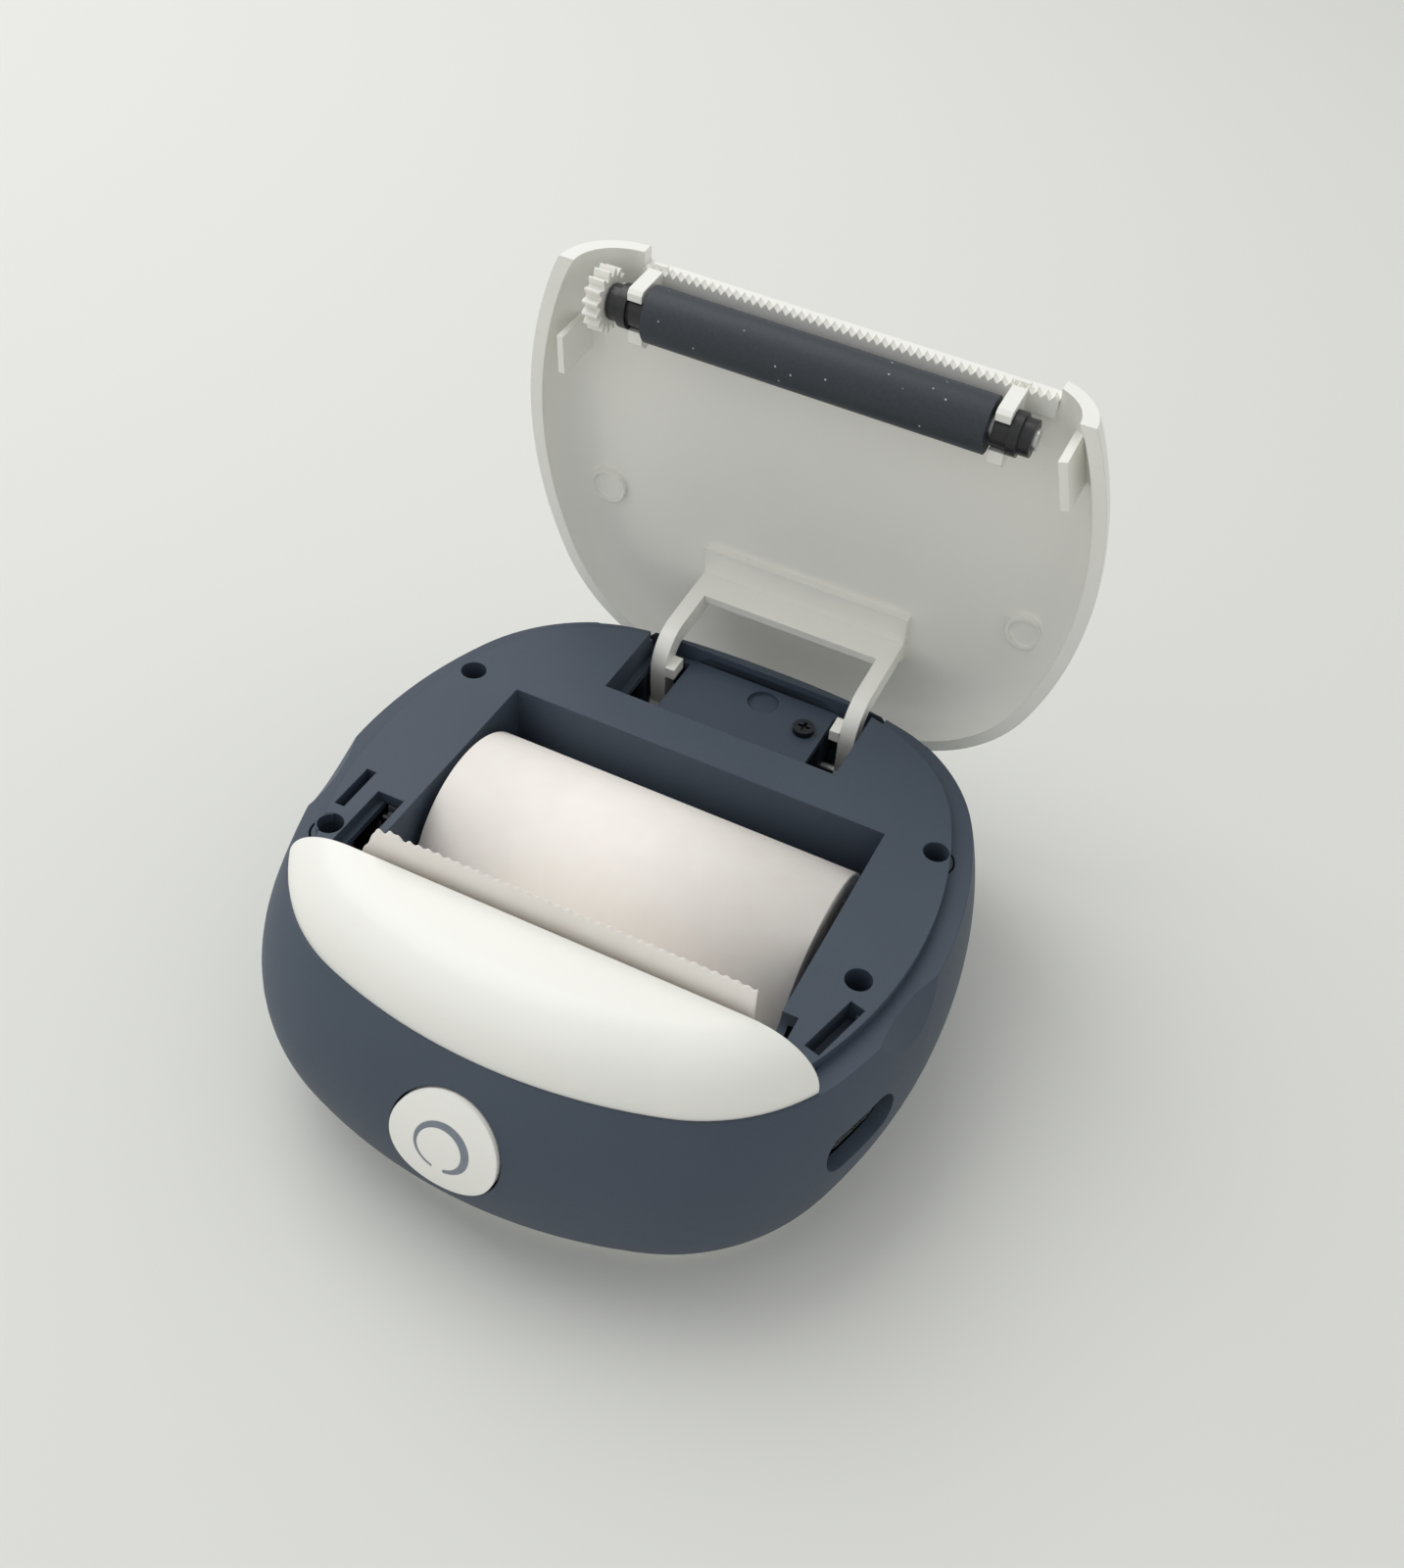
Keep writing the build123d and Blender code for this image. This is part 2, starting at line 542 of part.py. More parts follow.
# Lid shell with its rear skirt, forks, tabs and moulding marks, modelled shut.
with BuildPart() as lid_inside:
    for x in (bush_start, -bush_start - fork_thickness):
        extrude(side_face(x, ((fork_front, fork_low + 0.6), (fork_front + 0.5, fork_low),
                              (fork_rear - 0.9, fork_low), (fork_rear, fork_low + 0.9),
                              (fork_rear, lid_ceiling + 0.6), (fork_front, lid_ceiling + 0.6))),
                amount=fork_thickness)
        add(cross_pin(platen_y, platen_z, bush_radius + bush_clearance, x, x + fork_thickness),
            mode=Mode.SUBTRACT)
        add(level_box(x, x + fork_thickness, platen_y - fork_opening, platen_y + fork_opening, 28, platen_z),
            mode=Mode.SUBTRACT)
    tab_mid = (left_slot[0] + left_slot[1]) / 2
    add(level_box(tab_mid - 0.5, tab_mid + 0.5, left_slot[2] + 0.7, left_slot[3] - 1.1, tab_low, lid_ceiling))
    with BuildSketch(Plane.XY.offset(tab_low)):
        with Locations(Location((slant_x, slant_y), slant_turn)):
            Rectangle(slant_width - 0.9, slant_length - 2.2)
    extrude(amount=9)
    for x in (-mark_x, mark_x):
        add(upright(x, mark_y, mark_outer, lid_ceiling - 0.9, lid_ceiling + 0.7))
        add(upright(x, mark_y, mark_inner, lid_ceiling - 2, lid_ceiling - 0.5), mode=Mode.SUBTRACT)
    add(outer_dome, mode=Mode.INTERSECT)

with BuildPart() as lid_shell:
    add(outer_dome)
    add(inner_dome, mode=Mode.SUBTRACT)
    add(level_box(-50, 50, -50, lid_front, 20, 50), mode=Mode.SUBTRACT)
    add(level_box(notch_left, notch_right, -30, notch_y, 30, 50), mode=Mode.SUBTRACT)
    add(level_box(-50, 50, -50, hinge_y, 20, rim_z), mode=Mode.SUBTRACT)
    add(cross_pin(hinge_y, hinge_z, skirt_radius, -50, 50), mode=Mode.SUBTRACT)
    add(lid_inside.part)
    add(level_box(notch_left, notch_right, -24, tear_bar_rear, lid_ceiling - tear_bar_thickness, lid_ceiling),
        mode=Mode.SUBTRACT)
lid_shell.part = lid_shell.part.rotate(hinge_line, -lid_open)
lid_shell.part.label = "lid_shell"
export_step(lid_shell.part, "parts/lid_shell.step")

# Tear bar: a thin strip under the lid's front edge with a row of teeth.
tooth_pitch = (notch_right - notch_left - 0.2) / tooth_count
with BuildPart() as tear_bar:
    with BuildSketch(Plane.XY.offset(lid_ceiling - tear_bar_thickness)):
        with BuildLine():
            points = []
            for i in range(tooth_count):
                points.append((notch_left + 0.1 + i * tooth_pitch, tooth_tip + tooth_depth))
                points.append((notch_left + 0.1 + (i + 0.5) * tooth_pitch, tooth_tip))
            points.append((notch_right - 0.1, tooth_tip + tooth_depth))
            points.append((notch_right - 0.1, tear_bar_rear))
            points.append((notch_left + 0.1, tear_bar_rear))
            Polyline(*points, close=True)
        make_face()
    extrude(amount=tear_bar_thickness)
tear_bar.part = tear_bar.part.rotate(hinge_line, -lid_open)
tear_bar.part.label = "tear_bar"
export_step(tear_bar.part, "parts/tear_bar.step")

# Gooseneck hinge bracket: base plate, bridge and two curved arms with eyes.
arm_low = hinge_z - arm_depth / 2
neck_radius = 3.0
neck_y = arm_front + arm_depth + neck_radius
neck_z = arm_low + arm_depth + neck_radius
with BuildPart() as hinge_bracket:
    for x in (arm_inner, -arm_outer):
        with BuildSketch(Plane.YZ.offset(x)):
            with BuildLine():
                Line((hinge_y, arm_low), (neck_y, arm_low))
                CenterArc((neck_y, neck_z), neck_radius + arm_depth, 270, -90)
                Polyline((arm_front, neck_z), (arm_front, lid_ceiling), (arm_front + arm_depth, lid_ceiling),
                         (arm_front + arm_depth, neck_z))
                CenterArc((neck_y, neck_z), neck_radius, 180, 90)
                Polyline((neck_y, neck_z - neck_radius), (hinge_y, neck_z - neck_radius), (hinge_y, arm_low))
            make_face()
            with Locations((hinge_y, hinge_z)):
                Circle(eye_radius)
                Circle(pin_diameter / 2 + pin_fit, mode=Mode.SUBTRACT)
        extrude(amount=arm_outer - arm_inner)
    add(level_box(-arm_outer, arm_outer, arm_front - 4.8, arm_front + arm_depth + 1, lid_ceiling - 1.4,
                  lid_ceiling))
    add(level_box(-arm_outer, arm_outer, arm_front, arm_front + 1.4, 33.0, lid_ceiling))
    for x in (13.4, -arm_inner):
        add(level_box(x, x + arm_inner - 13.4, arm_front + 4.2, arm_front + 6.2, arm_low,
                      arm_low + arm_depth))
hinge_bracket.part = hinge_bracket.part.rotate(hinge_line, -lid_open)
hinge_bracket.part.label = "hinge_bracket"
export_step(hinge_bracket.part, "parts/hinge_bracket.step")

with BuildPart() as hinge_pins:
    for side in (1, -1):
        start = ear_starts[0]
        finish = ear_starts[1] + ear_thickness
        add(cross_pin(hinge_y, hinge_z, pin_diameter / 2, min(side * start, side * finish),
                      max(side * start, side * finish)))
        add(cross_pin(hinge_y, hinge_z, 1.8, min(side * start, side * (start - 0.6)),
                      max(side * start, side * (start - 0.6))))
hinge_pins.part.label = "hinge_pins"
export_step(hinge_pins.part, "parts/hinge_pins.step")

# Platen: shaft with a flat for the gear, rubber sleeve and two flanged bushes.
with BuildPart() as platen_shaft:
    add(cross_pin(platen_y, platen_z, shaft_radius, shaft_left, shaft_right))
    add(level_box(shaft_left, gear_left + gear_width, platen_y - 3, platen_y + 3, platen_z + shaft_flat,
                  platen_z + 3), mode=Mode.SUBTRACT)
with BuildPart() as platen_rubber:
    add(cross_pin(platen_y, platen_z, platen_radius, -platen_half, platen_half))
    add(cross_pin(platen_y, platen_z, shaft_radius, -platen_half, platen_half), mode=Mode.SUBTRACT)
platen_rubber.part = platen_rubber.part.rotate(hinge_line, -lid_open)
platen_rubber.part.label = "platen_rubber"
export_step(platen_rubber.part, "parts/platen_rubber.step")

for label, side in (("platen_bush_right", 1), ("platen_bush_left", -1)):
    with BuildPart() as bush:
        near, far = sorted((side * bush_start, side * bush_end))
        add(cross_pin(platen_y, platen_z, bush_radius, near, far))
        near, far = sorted((side * (bush_start + 2.3), side * (bush_start + 3.7)))
        add(cross_pin(platen_y, platen_z, bush_radius + 0.5, near, far))
        add(cross_pin(platen_y, platen_z, shaft_radius + bush_clearance, -bush_end, bush_end),
            mode=Mode.SUBTRACT)
    bush.part = bush.part.rotate(hinge_line, -lid_open)
    bush.part.label = label
    export_step(bush.part, f"parts/{label}.step")


def involute(angle):
    return tan(angle) - angle


def next_phase(direction, phase, teeth, next_teeth):
    """Angle of a tooth on the next gear so that the pair meshes along the given direction."""
    return direction + 180 - (phase - direction) * teeth / next_teeth + 180 / next_teeth


def gear_face(x, y, z, teeth, phase):
    """Involute gear; each flank is an arc through three points of its involute."""
    pitch = gear_module * teeth / 2
    base = pitch * cos(radians(pressure_angle))
    tip = pitch + addendum
    root = pitch - dedendum
    start = max(base + 0.005, root)
    half = pi / (2 * teeth) - backlash / (2 * pitch) + involute(radians(pressure_angle))

    def point(radius, angle):
        return y + radius * cos(angle), z + radius * sin(angle)

    with BuildSketch(Plane.YZ.offset(x)) as face:
        with BuildLine():
            for tooth in range(teeth):
                middle = radians(phase) + tooth * 2 * pi / teeth
                after = middle + 2 * pi / teeth
                foot = half - involute(acos(base / start))
                centre = half - involute(acos(base / ((start + tip) / 2)))
                crest = half - involute(acos(base / tip))
                for sign in (-1, 1):
                    ThreePointArc(point(start, middle + sign * foot),
                                  point((start + tip) / 2, middle + sign * centre),
                                  point(tip, middle + sign * crest))
                    if start > root:
                        Line(point(root, middle + sign * foot), point(start, middle + sign * foot))
                Line(point(tip, middle - crest), point(tip, middle + crest))
                Line(point(root, middle + foot), point(root, after - foot))
        make_face()
    return face.sketch


platen_phase = drive_angle
drive_phase = next_phase(drive_angle, platen_phase, platen_teeth, drive_teeth)
idler_phase = next_phase(idler_angle, drive_phase, drive_teeth, idler_teeth)
pinion_phase = next_phase(pinion_angle, idler_phase, idler_teeth, pinion_teeth)

with BuildPart() as platen_gear:
    extrude(gear_face(gear_left, platen_y, platen_z, platen_teeth, platen_phase), amount=gear_width)
    add(platen_shaft.part, mode=Mode.SUBTRACT)
platen_shaft.part = platen_shaft.part.rotate(hinge_line, -lid_open)
platen_shaft.part.label = "platen_shaft"
export_step(platen_shaft.part, "parts/platen_shaft.step")
platen_gear.part = platen_gear.part.rotate(hinge_line, -lid_open)
platen_gear.part.label = "platen_gear"
export_step(platen_gear.part, "parts/platen_gear.step")

gears = (
    ("drive_gear", drive_y, drive_z, drive_teeth, drive_phase),
    ("idler_gear", idler_y, idler_z, idler_teeth, idler_phase),
)
for label, y, z, teeth, phase in gears:
    with BuildPart() as gear:
        extrude(gear_face(gear_left, y, z, teeth, phase), amount=gear_width)
        add(cross_pin(y, z, axle_radius + axle_fit, gear_left, gear_left + gear_width), mode=Mode.SUBTRACT)
        if teeth > 20:
            with BuildSketch(Plane.YZ.offset(gear_left)):
                with Locations((y, z)):
                    with PolarLocations(4.4, 5):
                        Circle(1.3)
            extrude(amount=gear_width, mode=Mode.SUBTRACT)
    gear.part.label = label
    export_step(gear.part, f"parts/{label}.step")

with BuildPart() as motor_pinion:
    extrude(gear_face(gear_left, pinion_y, pinion_z, pinion_teeth, pinion_phase), amount=gear_width)
    add(cross_pin(pinion_y, pinion_z, axle_radius, gear_left, gear_left + gear_width), mode=Mode.SUBTRACT)
motor_pinion.part.label = "motor_pinion"
export_step(motor_pinion.part, "parts/motor_pinion.step")

with BuildPart() as motor_shaft:
    add(cross_pin(pinion_y, pinion_z, axle_radius, motor_face - 2, gear_left + gear_width))
motor_shaft.part.label = "motor_shaft"
export_step(motor_shaft.part, "parts/motor_shaft.step")

with BuildPart() as gear_axles:
    for y, z in ((drive_y, drive_z), (idler_y, idler_z)):
        add(cross_pin(y, z, axle_radius, gear_left - 0.4, outer_face + 0.8))
        add(cross_pin(y, z, 1.3, gear_left - 0.4, gear_left - 0.1))
gear_axles.part.label = "gear_axles"
export_step(gear_axles.part, "parts/gear_axles.step")

with BuildPart() as motor_bracket:
    add(level_box(motor_face, motor_face + bracket_plate, -11.2, 5.8, 11.8, 29.8))
    fillet(motor_bracket.edges().filter_by(Axis.X), 1.5)
    for y, z in standoffs:
        add(cross_pin(y, z, standoff_peg + seat_fit, motor_face, motor_face + bracket_plate),
            mode=Mode.SUBTRACT)
    add(cross_pin(pinion_y, pinion_z, 1.6, motor_face, motor_face + bracket_plate), mode=Mode.SUBTRACT)
motor_bracket.part.label = "motor_bracket"
export_step(motor_bracket.part, "parts/motor_bracket.step")

with BuildPart() as stepper_motor:
    add(cross_pin(pinion_y, pinion_z, motor_radius, motor_face - motor_length, motor_face))
    add(cross_pin(pinion_y, pinion_z, axle_radius + axle_fit, motor_face - 2.2, motor_face),
        mode=Mode.SUBTRACT)
stepper_motor.part.label = "stepper_motor"
export_step(stepper_motor.part, "parts/stepper_motor.step")

# Paper roll, its core and the strip that leaves it.
with BuildPart() as paper_roll:
    add(cross_pin(roll_y, roll_z, roll_radius, -paper_width / 2, paper_width / 2))
    add(cross_pin(roll_y, roll_z, roll_core_radius, -paper_width / 2, paper_width / 2), mode=Mode.SUBTRACT)
paper_roll.part.label = "paper_roll"
export_step(paper_roll.part, "parts/paper_roll.step")

with BuildPart() as roll_core:
    add(cross_pin(roll_y, roll_z, roll_core_radius, -paper_width / 2, paper_width / 2))
    add(cross_pin(roll_y, roll_z, roll_core_bore, -paper_width / 2, paper_width / 2), mode=Mode.SUBTRACT)
roll_core.part.label = "roll_core"
export_step(roll_core.part, "parts/roll_core.step")

half = paper_thickness / 2
strip_gap = hypot(roll_y - paper_y, roll_z - paper_bend_z)
strip_radius = roll_radius + 0.15 + half
strip_lean = asin(strip_radius / strip_gap) + atan2(paper_bend_z - roll_z, roll_y - paper_y)
kink = half * ((1 - sin(strip_lean)) * tan(strip_lean) - cos(strip_lean))
strip_end_y = roll_y - strip_radius * sin(strip_lean)
strip_end_z = roll_z - strip_radius * cos(strip_lean)
with BuildPart() as paper_strip:
    across, along = half * sin(strip_lean), half * cos(strip_lean)
    extrude(side_face(-paper_width / 2, (
        (paper_y - half, paper_top), (paper_y - half, paper_bend_z + kink),
        (strip_end_y - across, strip_end_z - along), (strip_end_y + across, strip_end_z + along),
        (paper_y + half, paper_bend_z - kink), (paper_y + half, paper_top))), amount=paper_width)
    with BuildSketch(Plane.XZ.offset(-paper_y - 5)):
        with BuildLine():
            left = -paper_width / 2
            torn = [(left - 1, 50), (left - 1, 37.5), (left + 1.3, 39.5), (left + 3.1, 43.0)]
            step = (paper_width - 4.97) / 43
            for i in range(44):
                torn.append((left + 3.9 + step * i, paper_top - 1.3 + 0.02 * i + (0.5 if i % 2 else 0)))
            torn.append((paper_width / 2 + 1, paper_top - 0.2))
            torn.append((paper_width / 2 + 1, 50))
            Polyline(*torn, close=True)
        make_face()
    extrude(amount=10, both=True, mode=Mode.SUBTRACT)
paper_strip.part.label = "paper_strip"
export_step(paper_strip.part, "parts/paper_strip.step")

# Print head: ceramic on an aluminium plate, pushed rearwards by springs on a steel bracket.
with BuildPart() as print_head:
    add(level_box(-head_half, head_half, head_face - ceramic_thickness, head_face, head_low, head_high))
print_head.part.label = "print_head"
export_step(print_head.part, "parts/print_head.step")

sink_face = head_face - ceramic_thickness
with BuildPart() as head_heat_sink:
    sink_front = sink_face - sink_thickness
    add(level_box(-sink_half, sink_half, sink_front, sink_face, head_low - 1, head_high + 0.5))
    for x in range(-24, 25, 8):
        add(level_box(x - 2.5, x + 2.5, sink_front, sink_front + 0.6, 34.5, 40), mode=Mode.SUBTRACT)
head_heat_sink.part.label = "head_heat_sink"
export_step(head_heat_sink.part, "parts/head_heat_sink.step")

bracket_front = head_bracket_face - head_bracket_steel
with BuildPart() as head_bracket:
    add(level_box(-sink_half - 1.8, sink_half + 1.8, bracket_front, head_bracket_face, head_low - 1.8,
                  head_high))
    add(level_box(-22, 22, -33.0, head_bracket_face, deck_top, deck_top + head_bracket_steel))
    add(level_box(-20, 20, bracket_front, -24.9, head_low - 1.8, head_low - 1))
    for x in (sink_half + 0.6, -sink_half - 1.4):
        add(level_box(x, x + 0.8, bracket_front, -24.9, head_low, head_high - 0.5))
head_bracket.part.label = "head_bracket"
export_step(head_bracket.part, "parts/head_bracket.step")

with BuildPart() as head_springs:
    spring_length = sink_front - head_bracket_face - spring_gap - 0.4
    for x in (-spring_x, spring_x):
        with BuildLine() as coil:
            Helix(spring_pitch, spring_length, spring_radius, center=(x, head_bracket_face + 0.2, spring_z),
                  direction=(0, 1, 0))
        with BuildSketch(Plane(origin=coil.line @ 0, z_dir=coil.line % 0)):
            Rectangle(spring_wire, spring_wire)
        sweep(is_frenet=True)
head_springs.part.label = "head_springs"
export_step(head_springs.part, "parts/head_springs.step")

# Power button with its crescent, switch and boards.
with BuildPart() as button_layer:
    add(body_form(-button_proud))
    add(body_form(button_thickness - button_proud, straight=True), mode=Mode.SUBTRACT)
    with BuildSketch(button_plane.offset(-12)):
        Circle(button_radius)
    extrude(amount=20, mode=Mode.INTERSECT)

with BuildPart() as power_ring:
    add(body_form(-button_proud))
    add(body_form(-button_proud + 0.6), mode=Mode.SUBTRACT)
    with BuildSketch(button_plane.offset(-6)):
        Circle(ring_outer)
        with Locations((-0.3, -0.25)):
            Circle(ring_inner, mode=Mode.SUBTRACT)
        with Locations((-0.3, -ring_outer)):
            Rectangle(ring_gap, ring_outer, mode=Mode.SUBTRACT)
    extrude(amount=12, mode=Mode.INTERSECT)
power_ring.part.label = "power_ring"
export_step(power_ring.part, "parts/power_ring.step")

with BuildPart() as power_button:
    add(button_layer.part)
    with BuildSketch(button_plane.offset(-7.2)):
        Circle(2.0)
    extrude(amount=6)
    with BuildSketch(button_plane.offset(-8.6)):
        Circle(1.2)
    extrude(amount=2)
    add(power_ring.part, mode=Mode.SUBTRACT)
power_button.part.label = "power_button"
export_step(power_button.part, "parts/power_button.step")

with BuildPart() as power_switch:
    with BuildSketch(button_plane.offset(-11)):
        Rectangle(6, 6)
    extrude(amount=3.2)
    with BuildSketch(button_plane.offset(-9.4)):
        Circle(1.4)
    extrude(amount=2, mode=Mode.SUBTRACT)
power_switch.part.label = "power_switch"
export_step(power_switch.part, "parts/power_switch.step")

with BuildPart() as switch_board:
    with BuildSketch(button_plane.offset(-12)):
        Rectangle(12, 24)
    extrude(amount=1.0)
    add(level_box(-20, 20, -60, 0, -10, board_z + board_thickness), mode=Mode.SUBTRACT)
    add(level_box(-20, 20, -60, 0, 27, 60), mode=Mode.SUBTRACT)
switch_board.part.label = "switch_board"
export_step(switch_board.part, "parts/switch_board.step")

with BuildPart() as main_board:
    with BuildSketch(Plane.XY.offset(board_z)):
        with BuildLine():
            Polyline((-board_half, -15.5), (board_half, -15.5), (board_half, -32), (board_half - 8, -39),
                     (8 - board_half, -39), (-board_half, -32), close=True)
        make_face()
    extrude(amount=board_thickness)
main_board.part.label = "main_board"
export_step(main_board.part, "parts/main_board.step")

with BuildPart() as board_parts:
    top = board_z + board_thickness
    for x, y, width, depth, tall in ((-12, -24, 7, 7, 1.0), (2, -22, 5, 4, 0.9), (14, -26, 4, 6, 1.2),
                                     (-20, -22, 4, 3, 2.2), (20, -20, 6, 3.5, 2.4), (-6, -30, 3, 3, 0.8)):
        add(level_box(x - width / 2, x + width / 2, y - depth / 2, y + depth / 2, top, top + tall))
board_parts.part.label = "board_parts"
export_step(board_parts.part, "parts/board_parts.step")

with BuildPart() as battery:
    add(level_box(-battery_half_x, battery_half_x, battery_front, battery_rear, base_thickness,
                  base_thickness + battery_height))
    fillet(battery.edges().filter_by(Axis.Z), 1.5)
battery.part.label = "battery"
export_step(battery.part, "parts/battery.step")

with BuildPart() as usb_socket:
    with BuildSketch(port_plane.offset(-1.8 - socket_depth)):
        SlotOverall(socket_width, socket_height)
    extrude(amount=socket_depth)
    with BuildSketch(port_plane.offset(-1.0 - socket_depth)):
        SlotOverall(socket_width - 0.6, socket_height - 0.6)
    extrude(amount=socket_depth, mode=Mode.SUBTRACT)
    with BuildSketch(port_plane.offset(-1.2 - socket_depth)):
        Rectangle(6.6, 0.7)
    extrude(amount=socket_depth - 1.5)
usb_socket.part.label = "usb_socket"
export_step(usb_socket.part, "parts/usb_socket.step")

with BuildPart() as socket_board:
    level = Plane(
        origin=(port_x, port_y, port_z - socket_height / 2 - 1.0),
        x_dir=port_plane.z_dir,
        z_dir=(0, 0, 1),
    )
    with BuildSketch(level):
        with Locations((-6.9, 0)):
            Rectangle(8.4, 12)
    extrude(amount=1.0)
socket_board.part.label = "socket_board"
export_step(socket_board.part, "parts/socket_board.step")
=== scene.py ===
"""Dresses the portable thermal printer: moulded ABS, rubber platen, thermal paper and metal parts."""

from math import cos, pi, radians, sin

import bmesh
import bpy
from mathutils import Matrix, Vector, noise


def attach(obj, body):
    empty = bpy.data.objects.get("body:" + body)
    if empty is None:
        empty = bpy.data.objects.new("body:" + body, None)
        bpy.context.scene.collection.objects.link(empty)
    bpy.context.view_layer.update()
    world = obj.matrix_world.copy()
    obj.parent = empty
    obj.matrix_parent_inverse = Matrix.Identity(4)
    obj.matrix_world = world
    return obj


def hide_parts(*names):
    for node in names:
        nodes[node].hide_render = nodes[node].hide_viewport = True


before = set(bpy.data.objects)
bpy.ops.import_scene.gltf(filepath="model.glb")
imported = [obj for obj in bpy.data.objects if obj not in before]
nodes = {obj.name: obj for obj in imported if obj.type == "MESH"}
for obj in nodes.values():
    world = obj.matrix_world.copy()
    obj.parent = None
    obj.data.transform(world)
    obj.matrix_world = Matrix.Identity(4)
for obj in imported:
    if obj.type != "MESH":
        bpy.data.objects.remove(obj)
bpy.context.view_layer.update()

bl_info = {
    "name": "Portable Thermal Printer",
    "version": (1, 0, 0),
    "blender": (4, 5, 0),
    "location": "View3D > Sidebar > Printer",
    "description": "Builds the finishes, paper and studio of a portable thermal printer",
    "category": "Object",
}

MM = 0.001

# Slots for the lid's tabs: middle, half sizes in millimetres and turn in degrees.
TAB_SLOTS = (
    (-38.25, -9.95, 0.75, 3.85, 0),
    (36.9, -15.8, 1.15, 4.8, -15.2),
)
POCKET_CORNER = 0.2 * MM
POCKET_CORNER_POINTS = 4

# The collar closes the side of the hole where the deck slopes away, seen from above in degrees.
COLLAR_FROM, COLLAR_SWEEP, COLLAR_STEPS = 110, 140, 32
COLLAR_DEPTH, COLLAR_SINK = 1.75 * MM, 0.04 * MM

# The roll's ends are drawn with fewer layers than the real one has, so that they show.
ROLL_LAYERS, ROLL_FACETS = 18, 96
LAYER_STEP, EDGE_STEP = 0.09 * MM, 0.02 * MM
LAYER_WAVE = 2.4

# The strip leaves the roll at its foot and ends in a torn edge. Plain lengths are in millimetres.
STRIP_FOOT = (-10.2 * MM, 11.3 * MM)
STRIP_COLUMNS, STRIP_ROWS = 160, 44
STRIP_THICKNESS = 0.08 * MM
TORN_CORNER, TORN_SLOPE, RAGGED_WIDTH = 4.0, 2.1, 9
TOOTH_COLUMNS, TOOTH_HEIGHT = 4, 0.16 * MM
RAGGED_HEIGHT, RAGGED_SPACING, RAGGED_STRONG, RAGGED_WEAK = 0.4 * MM, 1.6 * MM, 2.4, 0.5
WAVE_DEPTH, WAVE_CHANGE, WAVE_ACROSS, WAVE_UP = 0.05, 0.03, 18 * MM, 12 * MM

# Lamps: name, place in metres, side in metres and power in watts.
LAMPS = (
    ("soft_key", (-0.5, 0.2, 0.8), 0.8, 4.3),
    ("soft_fill", (-0.5, -0.6, 0.6), 0.9, 0.8),
)
LAMP_AIM = (0, 0, 0.03)
WORLD_LEVEL = 0.6

# Camera, fitted to the roll, the bay and the body's outline; focal length and shift in pixels.
PICTURE_HEIGHT = 1600
SENSOR_HEIGHT = 36.0
FOCAL_PIXELS = 1536.0
SHIFT_PIXELS = (-76.4, 112.8)
CAMERA_AZIMUTH, CAMERA_ELEVATION, CAMERA_ROLL = 17.8, 48.15, 8.77
CAMERA_TARGET = (17.24, 13.25, 20.0)
CAMERA_DISTANCE = 222.7


def srgb(text):
    """Linear colour of an sRGB hex value."""
    values = [int(text[i:i + 2], 16) / 255 for i in (1, 3, 5)]
    linear = [v / 12.92 if v <= 0.04045 else ((v + 0.055) / 1.055) ** 2.4 for v in values]
    return (*linear, 1.0)


def add(material, kind, inputs=None, **settings):
    """Adds a node, sets its properties, then fills or links its inputs by name or number."""
    node = material.node_tree.nodes.new(kind)
    for name, value in settings.items():
        setattr(node, name, value)
    for key, value in (inputs or {}).items():
        if isinstance(value, bpy.types.NodeSocket):
            material.node_tree.links.new(value, node.inputs[key])
        else:
            node.inputs[key].default_value = value
    return node


def start(name, **constants):
    """New material with its shader; constants go straight on the shader's sockets."""
    material = bpy.data.materials.new(name)
    material.use_nodes = True
    shader = material.node_tree.nodes["Principled BSDF"]
    for key, value in constants.items():
        shader.inputs[key.replace("_", " ")].default_value = value
    return material, shader


def link(material, source, target):
    """Joins two sockets."""
    material.node_tree.links.new(source, target)


def two_tone(material, shader, factor, low, high):
    """Base colour between two close tones."""
    ramp = add(material, "ShaderNodeValToRGB", {"Fac": factor})
    ramp.color_ramp.elements[0].color = low
    ramp.color_ramp.elements[1].color = high
    link(material, ramp.outputs["Color"], shader.inputs["Base Color"])
    return ramp


def moulded_abs(name, low, high, grain_mm, depth_mm, rough, spread):
    """Injection-moulded ABS with a spark-eroded grain, which breaks up its highlight."""
    material, shader = start(name, IOR=1.53)
    place = add(material, "ShaderNodeTexCoord").outputs["Object"]
    broad = add(material, "ShaderNodeTexNoise", {"Vector": place, "Scale": 1 / (24 * MM), "Detail": 3.0})
    two_tone(material, shader, broad.outputs["Fac"], low, high)
    # The grain is drawn coarser than the real one, so that it shows.
    grain = add(material, "ShaderNodeTexNoise",
                {"Vector": place, "Scale": 1 / (grain_mm * MM), "Detail": 2.0})
    gloss = add(material, "ShaderNodeMapRange",
                {"Value": grain.outputs["Fac"], "To Min": rough - spread, "To Max": rough + spread})
    link(material, gloss.outputs["Result"], shader.inputs["Roughness"])
    # Mould edges are broken by 0.2 mm, which gives each one a thin line of light.
    edge = add(material, "ShaderNodeBevel", {"Radius": 0.2 * MM}, samples=4)
    bump = add(material, "ShaderNodeBump", {"Height": grain.outputs["Fac"], "Strength": 0.5,
                                            "Distance": depth_mm * MM, "Normal": edge.outputs["Normal"]})
    link(material, bump.outputs["Normal"], shader.inputs["Normal"])
    return material


